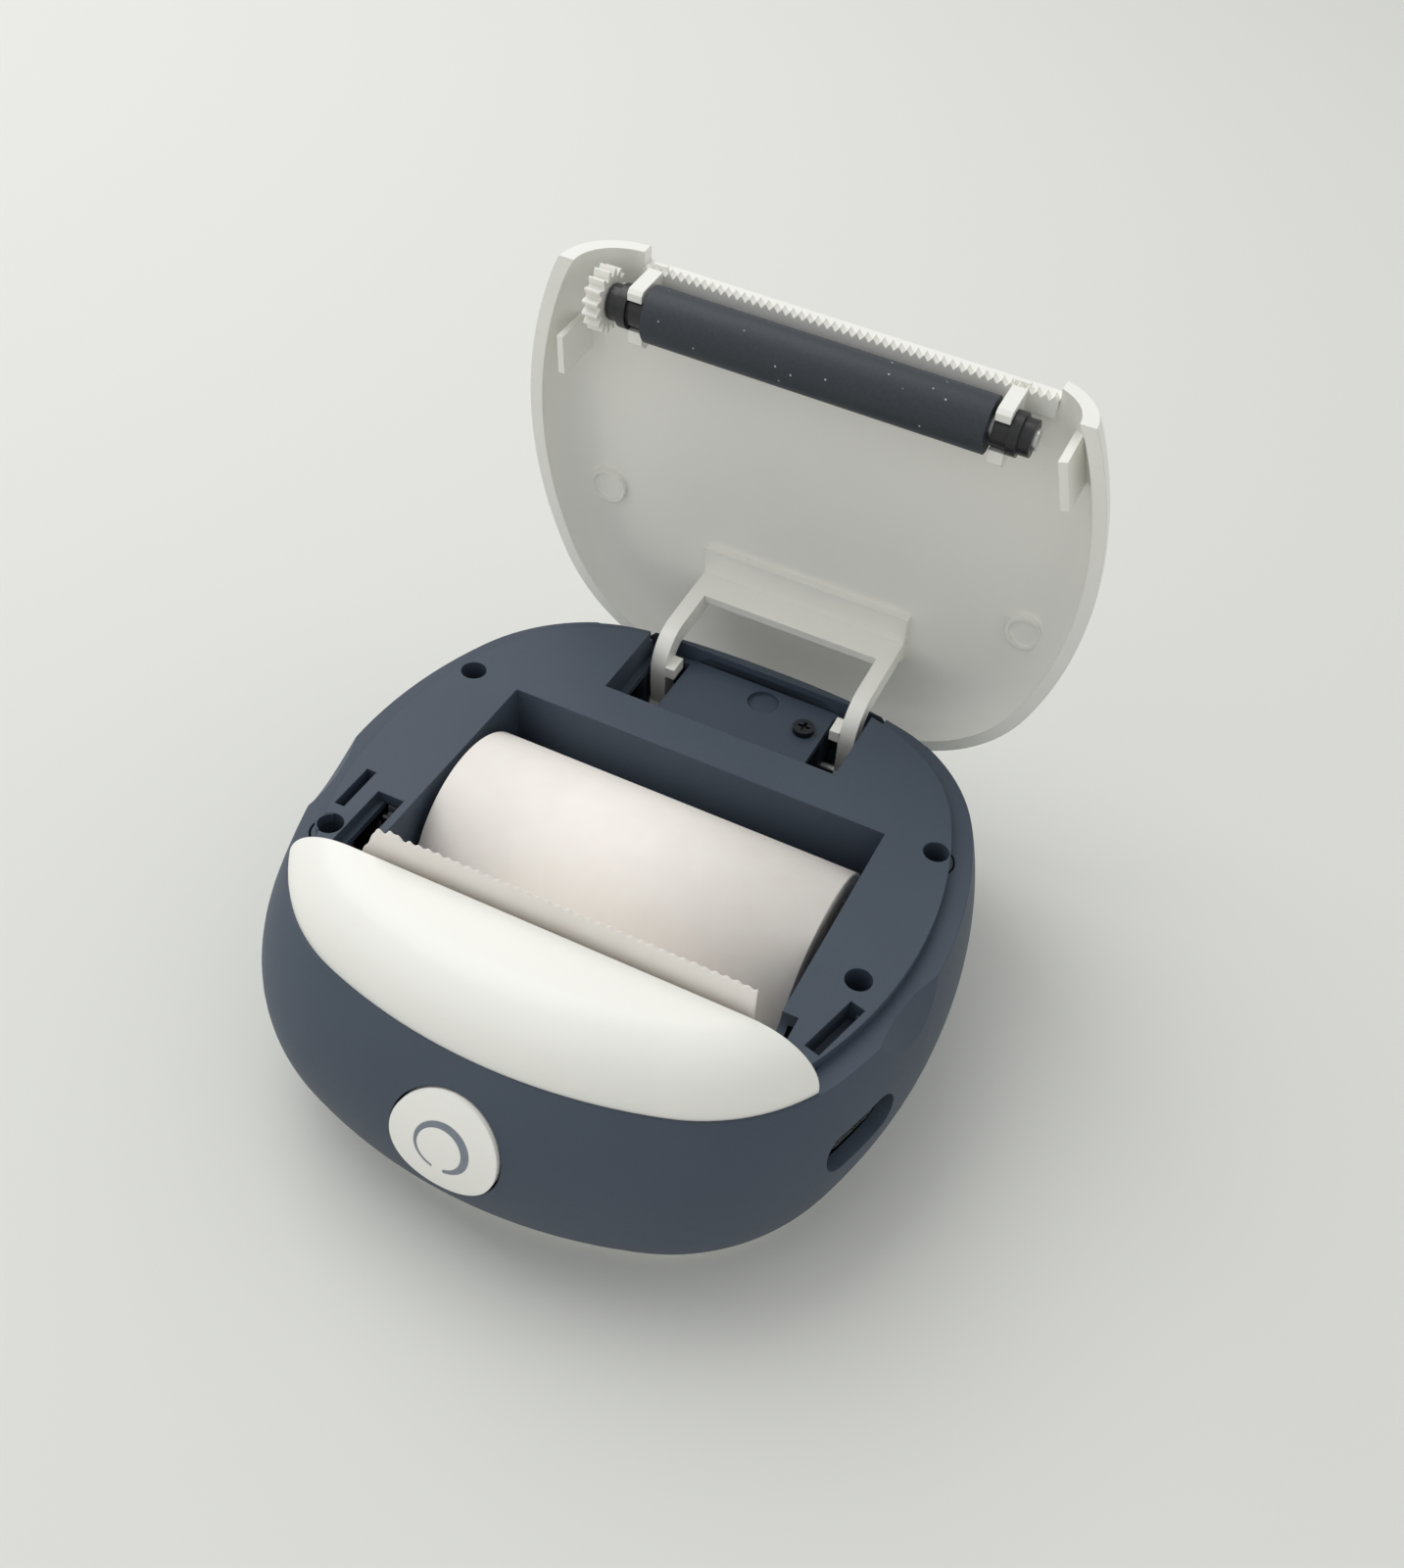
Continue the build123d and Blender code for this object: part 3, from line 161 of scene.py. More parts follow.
def moulded_acetal(name, low, high):
    """Moulded acetal: waxy, a little light goes in, faint flow marks."""
    material, shader = start(name, IOR=1.48, Roughness=0.38,
                             Subsurface_Weight=0.12, Subsurface_Scale=0.8 * MM)
    place = add(material, "ShaderNodeTexCoord").outputs["Object"]
    flow = add(material, "ShaderNodeTexNoise", {"Vector": place, "Scale": 1 / (3 * MM), "Distortion": 0.6})
    two_tone(material, shader, flow.outputs["Fac"], low, high)
    return material


def turned_metal(name, low, high, rough, line_mm, axis):
    """Drawn or turned metal: fine lines round or along the piece stretch its highlight."""
    material, shader = start(name, Metallic=1.0)
    place = add(material, "ShaderNodeTexCoord").outputs["Object"]
    stretch = [1 / (6 * MM)] * 3
    stretch[axis] = 1 / (line_mm * MM)
    # The lines are drawn wider than the real ones, so that they show.
    lines = add(material, "ShaderNodeMapping", {"Vector": place, "Scale": stretch})
    streak = add(material, "ShaderNodeTexNoise",
                 {"Vector": lines.outputs["Vector"], "Scale": 1.0, "Detail": 3.0})
    two_tone(material, shader, streak.outputs["Fac"], low, high)
    gloss = add(material, "ShaderNodeMapRange",
                {"Value": streak.outputs["Fac"], "To Min": rough - 0.08, "To Max": rough + 0.1})
    link(material, gloss.outputs["Result"], shader.inputs["Roughness"])
    bump = add(material, "ShaderNodeBump",
               {"Height": streak.outputs["Fac"], "Strength": 0.3, "Distance": 0.01 * MM})
    link(material, bump.outputs["Normal"], shader.inputs["Normal"])
    return material


def ground_rubber(name, low, high):
    """Ground silicone rubber: dull, with a fine grit left by the grinding wheel."""
    material, shader = start(name, IOR=1.44, Roughness=0.52)
    place = add(material, "ShaderNodeTexCoord").outputs["Object"]
    # Grit of 0.5 mm, coarser than the real one so that it shows.
    grit = add(material, "ShaderNodeTexNoise", {"Vector": place, "Scale": 1 / (0.5 * MM), "Detail": 4.0})
    tone = two_tone(material, shader, grit.outputs["Fac"], low, high)
    # Specks of paper dust, about 0.3 mm wide and 2 mm apart.
    cells = add(material, "ShaderNodeTexVoronoi", {"Vector": place, "Scale": 1 / (2.2 * MM)})
    speck = add(material, "ShaderNodeMapRange",
                {"Value": cells.outputs["Distance"], "From Min": 0.05, "From Max": 0.08,
                 "To Min": 0.8, "To Max": 0.0})
    # Of the mix node's inputs, 0 is the factor, and 6 and 7 are its two colours.
    dusty = add(material, "ShaderNodeMix",
                {0: speck.outputs["Result"], 6: tone.outputs["Color"], 7: srgb("#c9ccce")},
                data_type="RGBA")
    link(material, dusty.outputs[2], shader.inputs["Base Color"])
    bump = add(material, "ShaderNodeBump",
               {"Height": grit.outputs["Fac"], "Strength": 0.5, "Distance": 0.04 * MM})
    link(material, bump.outputs["Normal"], shader.inputs["Normal"])
    return material


def coated_paper(name, low, high, wound):
    """Thermal paper: a smooth coat over soft fibre; on the roll's ends the wound layers show as rings."""
    material, shader = start(name, IOR=1.45, Roughness=0.62,
                             Subsurface_Weight=0.05, Subsurface_Scale=0.5 * MM)
    place = add(material, "ShaderNodeTexCoord").outputs["Object"]
    # The fibre shows as faint clouds a few millimetres across.
    fibre = add(material, "ShaderNodeTexNoise", {"Vector": place, "Scale": 1 / (4 * MM), "Detail": 5.0})
    two_tone(material, shader, fibre.outputs["Fac"], low, high)
    height = fibre.outputs["Fac"]
    depth = 0.02
    if wound:
        middle = (0, *wound)
        centred = add(material, "ShaderNodeVectorMath", {0: place, 1: middle}, operation="SUBTRACT")
        flat = add(material, "ShaderNodeVectorMath", {0: centred.outputs["Vector"], 1: (0, 1, 1)},
                   operation="MULTIPLY")
        reach = add(material, "ShaderNodeVectorMath", {0: flat.outputs["Vector"]}, operation="LENGTH")
        # One ring for each 0.4 mm, because the real 0.06 mm layers are too fine to show.
        turns = add(material, "ShaderNodeMath", {0: reach.outputs["Value"], 1: 2 * pi / (0.4 * MM)},
                    operation="MULTIPLY")
        ring = add(material, "ShaderNodeMath", {0: turns.outputs["Value"]}, operation="SINE")
        height = ring.outputs["Value"]
        depth = 0.06
    bump = add(material, "ShaderNodeBump", {"Height": height, "Strength": 0.4, "Distance": depth * MM})
    link(material, bump.outputs["Normal"], shader.inputs["Normal"])
    return material


def circuit_board(name, low, high):
    """Solder mask over copper: green gloss, with the tracks as fine paler lines."""
    material, shader = start(name, IOR=1.5, Roughness=0.35, Coat_Weight=0.4, Coat_Roughness=0.2)
    place = add(material, "ShaderNodeTexCoord").outputs["Object"]
    tracks = add(material, "ShaderNodeTexBrick",
                 {"Vector": place, "Scale": 1 / (4 * MM), "Mortar Size": 0.03,
                  "Color1": low, "Color2": high, "Mortar": srgb("#2f6b46")})
    link(material, tracks.outputs["Color"], shader.inputs["Base Color"])
    return material


def foil_pouch(name, low, high):
    """Aluminium laminate pouch, soft crinkles in a dull silver foil."""
    material, shader = start(name, Metallic=0.85, Roughness=0.42)
    place = add(material, "ShaderNodeTexCoord").outputs["Object"]
    crinkle = add(material, "ShaderNodeTexVoronoi", {"Vector": place, "Scale": 1 / (6 * MM)})
    two_tone(material, shader, crinkle.outputs["Distance"], low, high)
    bump = add(material, "ShaderNodeBump",
               {"Height": crinkle.outputs["Distance"], "Strength": 0.3, "Distance": 0.1 * MM})
    link(material, bump.outputs["Normal"], shader.inputs["Normal"])
    return material


def light_guide(name, low, high):
    """Frosted polycarbonate light guide, dim while the printer is off."""
    material, shader = start(name, IOR=1.58, Roughness=0.3, Transmission_Weight=0.25)
    place = add(material, "ShaderNodeTexCoord").outputs["Object"]
    # Frost of 0.8 mm, coarser than the real one so that it shows.
    frost = add(material, "ShaderNodeTexNoise", {"Vector": place, "Scale": 1 / (0.8 * MM)})
    two_tone(material, shader, frost.outputs["Fac"], low, high)
    return material


def studio_card(name, colour):
    """Matt painted board, which takes a soft shadow and shows no gloss."""
    material, _ = start(name, Roughness=0.85, Base_Color=colour)
    return material


def dress(material, *names):
    """Gives carried-over pieces their finish."""
    for name in names:
        piece = nodes[name]
        piece.data.materials.clear()
        piece.data.materials.append(material)


def mesh_piece(name, points, faces, material, body, stands_for, smooth=True):
    """Adds a mesh piece, its faces turned outward, that rides on a body and stands for a node."""
    mesh = bpy.data.meshes.new(name)
    mesh.from_pydata(points, [], faces)
    shape = bmesh.new()
    shape.from_mesh(mesh)
    bmesh.ops.recalc_face_normals(shape, faces=shape.faces)
    shape.to_mesh(mesh)
    shape.free()
    mesh.update()
    mesh.materials.append(material)
    if smooth:
        mesh.polygons.foreach_set("use_smooth", [True] * len(mesh.polygons))
    piece = bpy.data.objects.new(name, mesh)
    bpy.context.scene.collection.objects.link(piece)
    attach(piece, body)
    if stands_for:
        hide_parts(stands_for)
    return piece


class PrinterColours(bpy.types.PropertyGroup):
    """Colours of the printer's visible plastics, rubber and paper."""

    shell_deep: bpy.props.FloatVectorProperty(
        name="Slate ABS, deep", description="Darker tone of the body and deck", default=srgb("#374250"),
        size=4, min=0.0, max=1.0, subtype="COLOR")
    shell_main: bpy.props.FloatVectorProperty(
        name="Slate ABS", description="Main tone of the body and deck", default=srgb("#424e5d"),
        size=4, min=0.0, max=1.0, subtype="COLOR")
    cover_shade: bpy.props.FloatVectorProperty(
        name="White ABS, shade", description="Cooler tone of the covers", default=srgb("#f1f1eb"),
        size=4, min=0.0, max=1.0, subtype="COLOR")
    cover_main: bpy.props.FloatVectorProperty(
        name="White ABS", description="Main tone of the covers", default=srgb("#f8f8f1"),
        size=4, min=0.0, max=1.0, subtype="COLOR")
    rubber_deep: bpy.props.FloatVectorProperty(
        name="Rubber, deep", description="Darker tone of the platen", default=srgb("#2a3036"),
        size=4, min=0.0, max=1.0, subtype="COLOR")
    rubber_main: bpy.props.FloatVectorProperty(
        name="Rubber", description="Main tone of the platen", default=srgb("#3a4047"),
        size=4, min=0.0, max=1.0, subtype="COLOR")
    paper_shade: bpy.props.FloatVectorProperty(
        name="Paper, shade", description="Cooler tone of the paper", default=srgb("#f3ede6"),
        size=4, min=0.0, max=1.0, subtype="COLOR")
    paper_main: bpy.props.FloatVectorProperty(
        name="Paper", description="Main tone of the paper", default=srgb("#fbf7f1"),
        size=4, min=0.0, max=1.0, subtype="COLOR")
    floor: bpy.props.FloatVectorProperty(
        name="Floor", description="Colour of the studio floor", default=srgb("#e1e2dd"),
        size=4, min=0.0, max=1.0, subtype="COLOR")


class PrinterSizes(bpy.types.PropertyGroup):
    """Sizes of the paper, the hole's collar and the tab pockets, which are built here."""

    roll_y: bpy.props.FloatProperty(
        name="Roll Y", description="Roll centre, front to back", default=2.6 * MM, unit="LENGTH")
    roll_z: bpy.props.FloatProperty(
        name="Roll height", description="Roll centre above the base", default=20.0 * MM, unit="LENGTH")
    roll_radius: bpy.props.FloatProperty(
        name="Roll radius", description="Outside of the paper roll", default=15.3 * MM, unit="LENGTH")
    core_radius: bpy.props.FloatProperty(
        name="Core radius", description="Outside of the card core", default=6.2 * MM, unit="LENGTH")
    paper_width: bpy.props.FloatProperty(
        name="Paper width", description="Width of the roll and strip", default=57.0 * MM, unit="LENGTH")
    strip_y: bpy.props.FloatProperty(
        name="Strip Y", description="Where the strip stands, front to back", default=-23.3 * MM,
        unit="LENGTH")
    hole_x: bpy.props.FloatProperty(
        name="Left hole X", description="Left front screw hole, side to side", default=-37.3 * MM,
        unit="LENGTH")
    hole_y: bpy.props.FloatProperty(
        name="Left hole Y", description="Left front screw hole, front to back", default=-17.3 * MM,
        unit="LENGTH")
    collar_radius: bpy.props.FloatProperty(
        name="Collar radius", description="Inside of the collar in the left hole", default=1.72 * MM,
        unit="LENGTH")
    collar_wall: bpy.props.FloatProperty(
        name="Collar wall", description="Thickness of the collar round the left hole", default=0.25 * MM,
        unit="LENGTH")
    deck_top: bpy.props.FloatProperty(
        name="Deck top", description="Height of the deck's flat top", default=34.4 * MM, unit="LENGTH")
    pocket_top: bpy.props.FloatProperty(
        name="Pocket top", description="Underside of the deck over the tab pockets", default=32.6 * MM,
        unit="LENGTH")
    pocket_floor: bpy.props.FloatProperty(
        name="Pocket floor", description="Floor under the lid's tabs", default=30.6 * MM, unit="LENGTH")
    pocket_wall: bpy.props.FloatProperty(
        name="Pocket wall", description="Wall of the tab pockets", default=0.25 * MM, unit="LENGTH")
    strip_top: bpy.props.FloatProperty(
        name="Strip top", description="Height of the torn edge", default=45.4 * MM, unit="LENGTH")
    bend_z: bpy.props.FloatProperty(
        name="Strip bend", description="Height at which the strip turns up", default=31.0 * MM, unit="LENGTH")


class PRINTER_OT_shells(bpy.types.Operator):
    """Finish the dark shell and deck and the white covers"""

    bl_idname = "printer.shells"
    bl_label = "Shells"

    def execute(self, context):
        colours = context.scene.printer_colours
        # Each ABS takes its grain and the grain's depth in millimetres, then its roughness and spread.
        # Slate ABS from a grained mould: dull, with a broad soft sheen.
        dark = moulded_abs("slate_moulded_abs", colours.shell_deep, colours.shell_main, 0.4, 0.05, 0.6, 0.06)
        dress(dark, "body_shell", "top_deck")
        # White ABS from a smoother mould: satin, so the crowned covers carry a soft highlight.
        white = moulded_abs("white_moulded_abs", colours.cover_shade, colours.cover_main,
                            0.5, 0.012, 0.34, 0.05)
        dress(white, "base_cover", "front_panel", "lid_shell", "tear_bar", "hinge_bracket", "power_button")
        # Frosted light guide: a soft grey-blue while its light is off.
        dress(light_guide("frosted_light_guide", srgb("#7d8794"), srgb("#939ca8")), "power_ring")
        return {"FINISHED"}


class PRINTER_OT_hole_collar(bpy.types.Operator):
    """Build the thin moulded collar that closes the left screw hole beside the deck's edge"""

    bl_idname = "printer.hole_collar"
    bl_label = "Hole collar"

    def execute(self, context):
        sizes = context.scene.printer_sizes
        inner, outer = sizes.collar_radius, sizes.collar_radius + sizes.collar_wall
        low, high = sizes.deck_top - COLLAR_DEPTH, sizes.deck_top - COLLAR_SINK
        points = []
        faces = []
        for i in range(COLLAR_STEPS + 1):
            angle = radians(COLLAR_FROM + COLLAR_SWEEP * i / COLLAR_STEPS)
            for radius in (inner, outer):
                for z in (low, high):
                    points.append((sizes.hole_x + radius * cos(angle), sizes.hole_y + radius * sin(angle), z))
        for i in range(COLLAR_STEPS):
            a = 4 * i
            b = a + 4
            faces += [(a, b, b + 1, a + 1), (a + 2, a + 3, b + 3, b + 2),
                      (a + 1, b + 1, b + 3, a + 3), (a, a + 2, b + 2, b)]
        end = 4 * COLLAR_STEPS
        faces += [(0, 1, 3, 2), (end, end + 2, end + 3, end + 1)]
        collar = mesh_piece("screw_hole_collar", points, faces, bpy.data.materials["slate_moulded_abs"],
                            "housing", None, smooth=False)
        return {"FINISHED"}


class PRINTER_OT_tab_pockets(bpy.types.Operator):
    """Build the shallow pockets under the deck's two slots, which take the lid's tabs"""

    bl_idname = "printer.tab_pockets"
    bl_label = "Tab pockets"

    def execute(self, context):
        sizes = context.scene.printer_sizes
        wall, floor, top = sizes.pocket_wall, sizes.pocket_floor, sizes.pocket_top
        # Four rings round each pocket: down its outside, then up its inside.
        rings = ((wall, top), (wall, floor - wall), (0.0, floor), (0.0, top))
        count = 4 * POCKET_CORNER_POINTS
        points = []
        faces = []
        for middle_x, middle_y, half_x, half_y, turn in TAB_SLOTS:
            start_at = len(points)
            spin = Matrix.Rotation(radians(turn), 3, "Z")
            flat_x, flat_y = half_x * MM - POCKET_CORNER, half_y * MM - POCKET_CORNER
            for grow, z in rings:
                reach = POCKET_CORNER + grow
                for quarter, (side_x, side_y) in enumerate(((1, 1), (-1, 1), (-1, -1), (1, -1))):
                    for i in range(POCKET_CORNER_POINTS):
                        angle = pi / 2 * (quarter + i / (POCKET_CORNER_POINTS - 1))
                        spot = Vector((side_x * flat_x + reach * cos(angle),
                                       side_y * flat_y + reach * sin(angle), 0.0))
                        points.append(spin @ spot + Vector((middle_x * MM, middle_y * MM, z)))
            for ring in (0, 2):
                for i in range(count):
                    a = start_at + ring * count + i
                    b = start_at + ring * count + (i + 1) % count
                    faces.append((a, a + count, b + count, b))
            faces.append([start_at + count + i for i in reversed(range(count))])
            faces.append([start_at + 2 * count + i for i in range(count)])
            for i in range(count):
                a, b = start_at + i, start_at + (i + 1) % count
                faces.append((a, b, b + 3 * count, a + 3 * count))
        pockets = mesh_piece("lid_tab_pockets", points, faces, bpy.data.materials["slate_moulded_abs"],
                             "housing", None, smooth=False)
        return {"FINISHED"}


class PRINTER_OT_platen(bpy.types.Operator):
    """Finish the platen roller, its bushes and the gear train"""

    bl_idname = "printer.platen"
    bl_label = "Platen and gears"

    def execute(self, context):
        colours = context.scene.printer_colours
        dress(ground_rubber("ground_platen_rubber", colours.rubber_deep, colours.rubber_main),
              "platen_rubber")
        # Moulded acetal: waxy, white on the platen's gear, and dark grey on the two in the pocket, where the
        # dark grey is painted shade of the pocket.
        dress(moulded_acetal("white_acetal", srgb("#e9e9e2"), srgb("#f2f2ec")), "platen_gear")
        # Painted shade: the pocket's dimness is painted into these two gears' colour.
        dress(moulded_acetal("acetal_painted_pocket_shade", srgb("#43474b"), srgb("#55595e")), "drive_gear", "idler_gear")
        # Black plastic from a smooth mould, acetal on the bushes: nearly black, with a satin highlight.
        dress(moulded_abs("black_acetal_bush", srgb("#131416"), srgb("#1c1d20"), 0.4, 0.01, 0.35, 0.05),
              "platen_bush_left", "platen_bush_right", "paper_sensor", "power_switch", "board_parts")
        # Each metal takes its roughness, its lines' width in millimetres and the axis that they cross.
        # Ground steel: bright, with fine lines round the shaft.
        dress(turned_metal("ground_steel_shaft", srgb("#b9babb"), srgb("#dcdcdc"), 0.3, 0.2, 0),
              "platen_shaft", "motor_shaft", "hinge_pins", "gear_axles")
        # Cut brass: warm yellow, with faint lines round the pinion.
        dress(turned_metal("cut_brass", srgb("#b98f45"), srgb("#d3ad62"), 0.32, 0.15, 0), "motor_pinion")
        return {"FINISHED"}


class PRINTER_OT_metal_parts(bpy.types.Operator):
    """Finish the screws, brackets, springs, socket, motor and heat sink"""

    bl_idname = "printer.metal_parts"
    bl_label = "Metal parts"

    def execute(self, context):
        # Zinc-plated sheet steel: pale grey with a streaky soft shine.
        dress(turned_metal("zinc_plated_steel", srgb("#9fa2a5"), srgb("#c9cbcd"), 0.34, 0.3, 2),
              "head_bracket", "motor_bracket", "stepper_motor")
        # Blackened steel: dark grey with a dull shine.
        dress(turned_metal("blackened_screw_steel", srgb("#33363b"), srgb("#4b4f55"), 0.4, 0.3, 2),
              "case_screws", "recess_screw", "base_screws")
        # Drawn spring wire: mid grey, with lines along the wire.
        dress(turned_metal("spring_wire", srgb("#8c8f92"), srgb("#b5b7b9"), 0.3, 0.2, 1), "head_springs")
        # Drawn steel: pale, with faint lines toward the socket's mouth.
        dress(turned_metal("drawn_socket_steel", srgb("#aeb1b4"), srgb("#d2d4d6"), 0.28, 0.3, 1),
              "usb_socket")
        # Milled aluminium: pale, with the cutter's lines.
        dress(turned_metal("milled_aluminium", srgb("#b8babd"), srgb("#d8dadc"), 0.36, 0.25, 0),
              "head_heat_sink")
        # Glazed ceramic: buff and satin, with the same slight depth as acetal.
        dress(moulded_acetal("glazed_head_ceramic", srgb("#b9b4a6"), srgb("#cbc6b8")), "print_head")
        return {"FINISHED"}


class PRINTER_OT_inside(bpy.types.Operator):
    """Finish the boards and battery under the deck"""

    bl_idname = "printer.inside"
    bl_label = "Inside"

    def execute(self, context):
        dress(circuit_board("green_circuit_board", srgb("#17412b"), srgb("#1b4a32")),
              "main_board", "switch_board", "socket_board")
        dress(foil_pouch("battery_foil", srgb("#9a9da1"), srgb("#b9bcbf")), "battery")
        return {"FINISHED"}


class PRINTER_OT_paper_roll(bpy.types.Operator):
    """Build the wound paper roll and finish its card core"""

    bl_idname = "printer.paper_roll"
    bl_label = "Paper roll"

    def execute(self, context):
        sizes = context.scene.printer_sizes
        colours = context.scene.printer_colours
        half = sizes.paper_width / 2
        # Each visible layer's end stands in by up to 0.09 mm, as in a hand-loosened roll.
        profile = []
        for side in (-1, 1):
            layers = range(ROLL_LAYERS + 1) if side < 0 else range(ROLL_LAYERS, -1, -1)
            for i in layers:
                radius = sizes.core_radius + (sizes.roll_radius - sizes.core_radius) * i / ROLL_LAYERS
                step = LAYER_STEP * (0.5 + 0.5 * sin(LAYER_WAVE * i + side))
                profile.append((side * (half - (step if 0 < i < ROLL_LAYERS else EDGE_STEP)), radius))
        points = []
        faces = []
        for k in range(ROLL_FACETS):
            angle = 2 * pi * k / ROLL_FACETS
            for x, radius in profile:
                points.append((x, sizes.roll_y + radius * cos(angle), sizes.roll_z + radius * sin(angle)))
        count = len(profile)
        for k in range(ROLL_FACETS):
            here, after = k * count, (k + 1) % ROLL_FACETS * count
            for j in range(count):
                beside = (j + 1) % count
                faces.append((here + j, here + beside, after + beside, after + j))
        paper = coated_paper("wound_thermal_paper", colours.paper_shade, colours.paper_main,
                             (sizes.roll_y, sizes.roll_z))
        roll = mesh_piece("wound_paper_roll", points, faces, paper, "paper", "paper_roll")
        # Pressed card: light brown and dull, with a coarse fibre in place of the mould's grain.
        card = moulded_abs("pressed_card", srgb("#b7a48b"), srgb("#cbb99f"), 1.2, 0.05, 0.8, 0.05)
        dress(card, "roll_core")
        return {"FINISHED"}


class PRINTER_OT_paper_strip(bpy.types.Operator):
    """Build the strip of paper that leaves the roll, with its torn edge"""

    bl_idname = "printer.paper_strip"
    bl_label = "Paper strip"

    def execute(self, context):
        sizes = context.scene.printer_sizes
        colours = context.scene.printer_colours
        half = sizes.paper_width / 2
        foot_y, foot_z = STRIP_FOOT
        points = []
        for i in range(STRIP_COLUMNS + 1):
            x = -half + 2 * half * i / STRIP_COLUMNS
            # The left corner is torn away in a slope, and the rest ends in small teeth.
            top = sizes.strip_top
            from_left = (x + half) / MM
            if from_left < TORN_CORNER:
                top -= (TORN_CORNER - from_left) * TORN_SLOPE * MM
            # The tear bar leaves teeth about 1.4 mm apart, less even near the torn corner.
            top += TOOTH_HEIGHT * (1 if i % TOOTH_COLUMNS < TOOTH_COLUMNS / 2 else -1)
            ragged = noise.noise(Vector((x / RAGGED_SPACING, 0.3, 0.7)))
            top += RAGGED_HEIGHT * ragged * (RAGGED_STRONG if from_left < RAGGED_WIDTH else RAGGED_WEAK)
            for j in range(STRIP_ROWS + 1):
                t = j / STRIP_ROWS
                if t < 0.5:
                    # Straight from the roll to the bend.
                    u = t / 0.5
                    y = foot_y + (sizes.strip_y - foot_y) * u
                    z = foot_z + (sizes.bend_z - foot_z) * u
                else:
                    # Upright from the bend to the torn edge, with a slight wave.
                    u = (t - 0.5) / 0.5
                    z = sizes.bend_z + (top - sizes.bend_z) * u
                    swell = noise.noise(Vector((x / WAVE_ACROSS, z / WAVE_UP, 0.0)))
                    y = sizes.strip_y - (WAVE_DEPTH + WAVE_CHANGE * swell) * MM * sin(pi * u)
                points.append((x, y, z))
        faces = []
        for i in range(STRIP_COLUMNS):
            for j in range(STRIP_ROWS):
                a = i * (STRIP_ROWS + 1) + j
                faces.append((a, a + 1, a + STRIP_ROWS + 2, a + STRIP_ROWS + 1))
        paper = coated_paper("thermal_paper_sheet", colours.paper_shade, colours.paper_main, None)
        strip = mesh_piece("torn_paper_strip", points, faces, paper, "housing", "paper_strip")
        thickness = strip.modifiers.new("sheet thickness", "SOLIDIFY")
        thickness.thickness = STRIP_THICKNESS
        thickness.offset = 0.0
        return {"FINISHED"}


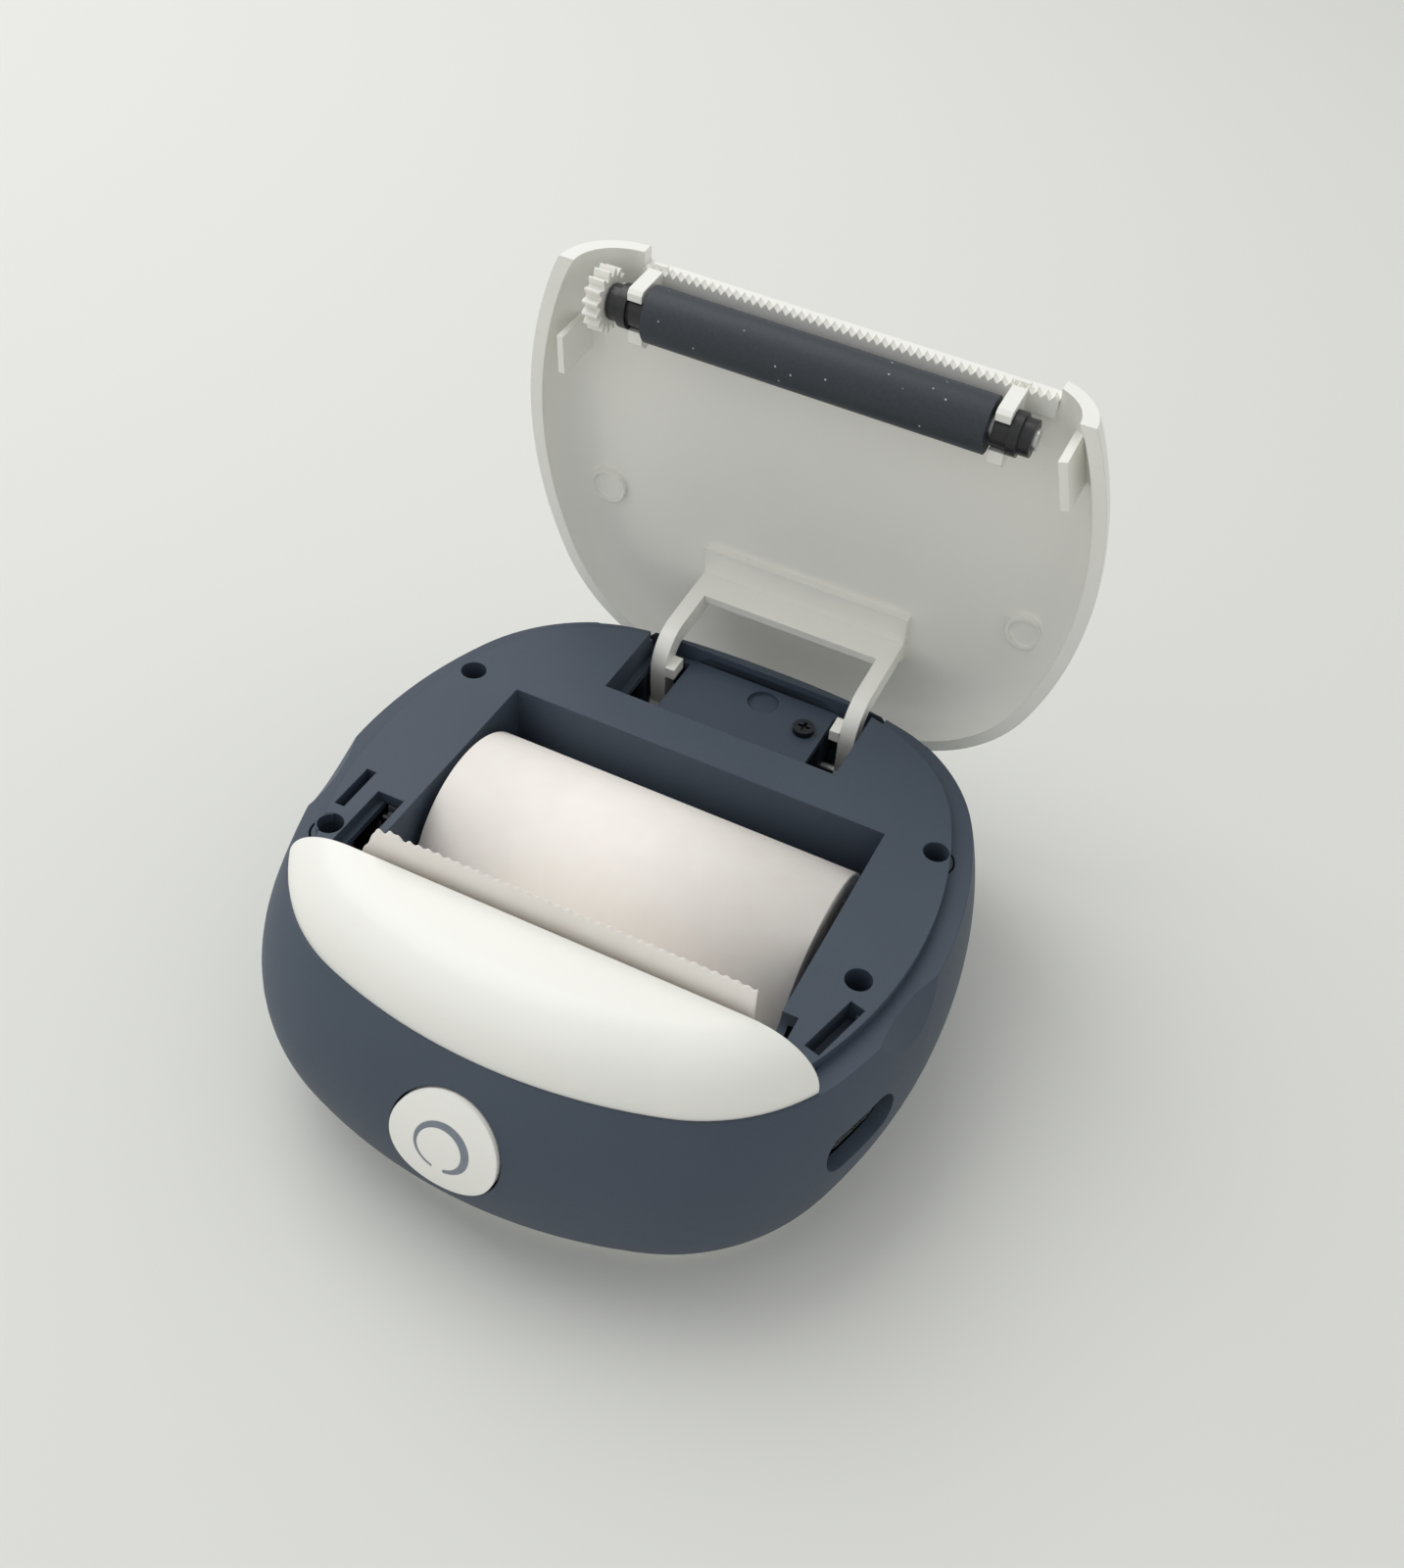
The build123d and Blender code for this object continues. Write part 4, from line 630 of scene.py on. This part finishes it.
class PRINTER_OT_stage(bpy.types.Operator):
    """Set the floor, soft lights and camera"""

    bl_idname = "printer.stage"
    bl_label = "Stage"

    def execute(self, context):
        scene = context.scene
        bpy.ops.mesh.primitive_plane_add(size=6.0, location=(0, 0, 0))
        floor = context.object
        floor.name = "studio_floor"
        floor.data.materials.append(studio_card("studio_floor_card", scene.printer_colours.floor))
        world = bpy.data.worlds.new("studio_world")
        world.use_nodes = True
        back = world.node_tree.nodes["Background"]
        back.inputs["Color"].default_value = (1, 1, 1, 1)
        back.inputs["Strength"].default_value = WORLD_LEVEL
        scene.world = world
        for name, place, size, power in LAMPS:
            lamp = bpy.data.lights.new(name, "AREA")
            lamp.size = size
            lamp.energy = power
            holder = bpy.data.objects.new(name, lamp)
            holder.location = place
            holder.rotation_euler = (Vector(LAMP_AIM) - Vector(place)).to_track_quat("-Z", "Y").to_euler()
            scene.collection.objects.link(holder)
        lens = bpy.data.cameras.new("photo_camera")
        lens.sensor_fit = "VERTICAL"
        lens.sensor_height = SENSOR_HEIGHT
        lens.lens = FOCAL_PIXELS * SENSOR_HEIGHT / PICTURE_HEIGHT
        lens.shift_x, lens.shift_y = (pixels / PICTURE_HEIGHT for pixels in SHIFT_PIXELS)
        lens.clip_start = 0.01
        azimuth, elevation, roll = (radians(v) for v in (CAMERA_AZIMUTH, CAMERA_ELEVATION, CAMERA_ROLL))
        target = Vector(CAMERA_TARGET) * MM
        back_way = Vector((sin(azimuth) * cos(elevation), -cos(azimuth) * cos(elevation), sin(elevation)))
        level = Vector((cos(azimuth), sin(azimuth), 0))
        above = back_way.cross(level)
        right = level * cos(roll) + above * sin(roll)
        up = above * cos(roll) - level * sin(roll)
        turn = Matrix((right, up, back_way)).transposed().to_4x4()
        camera = bpy.data.objects.new("photo_camera", lens)
        camera.matrix_world = Matrix.Translation(target + back_way * CAMERA_DISTANCE * MM) @ turn
        scene.collection.objects.link(camera)
        scene.camera = camera
        scene.view_settings.view_transform = "Standard"
        return {"FINISHED"}


class PRINTER_PT_panel(bpy.types.Panel):
    """Lists the printer's steps"""

    bl_label = "Portable Thermal Printer"
    bl_idname = "PRINTER_PT_panel"
    bl_space_type = "VIEW_3D"
    bl_region_type = "UI"
    bl_category = "Printer"

    def draw(self, context):
        for name in PrinterColours.__annotations__:
            self.layout.prop(context.scene.printer_colours, name)
        for name in PrinterSizes.__annotations__:
            self.layout.prop(context.scene.printer_sizes, name)
        for step in STEPS:
            self.layout.operator(step.bl_idname)


STEPS = (
    PRINTER_OT_shells,
    PRINTER_OT_hole_collar,
    PRINTER_OT_tab_pockets,
    PRINTER_OT_platen,
    PRINTER_OT_metal_parts,
    PRINTER_OT_inside,
    PRINTER_OT_paper_roll,
    PRINTER_OT_paper_strip,
    PRINTER_OT_stage,
)
CLASSES = (PrinterColours, PrinterSizes, *STEPS, PRINTER_PT_panel)


def register():
    """Registers the classes and their properties."""
    for item in CLASSES:
        bpy.utils.register_class(item)
    bpy.types.Scene.printer_colours = bpy.props.PointerProperty(type=PrinterColours)
    bpy.types.Scene.printer_sizes = bpy.props.PointerProperty(type=PrinterSizes)


def unregister():
    """Takes away what register adds."""
    del bpy.types.Scene.printer_sizes
    del bpy.types.Scene.printer_colours
    for item in reversed(CLASSES):
        bpy.utils.unregister_class(item)


def main():
    register()
    bpy.ops.printer.shells()
    bpy.ops.printer.hole_collar()
    bpy.ops.printer.tab_pockets()
    bpy.ops.printer.platen()
    bpy.ops.printer.metal_parts()
    bpy.ops.printer.inside()
    bpy.ops.printer.paper_roll()
    bpy.ops.printer.paper_strip()
    bpy.ops.printer.stage()


if __name__ == "__main__":
    main()
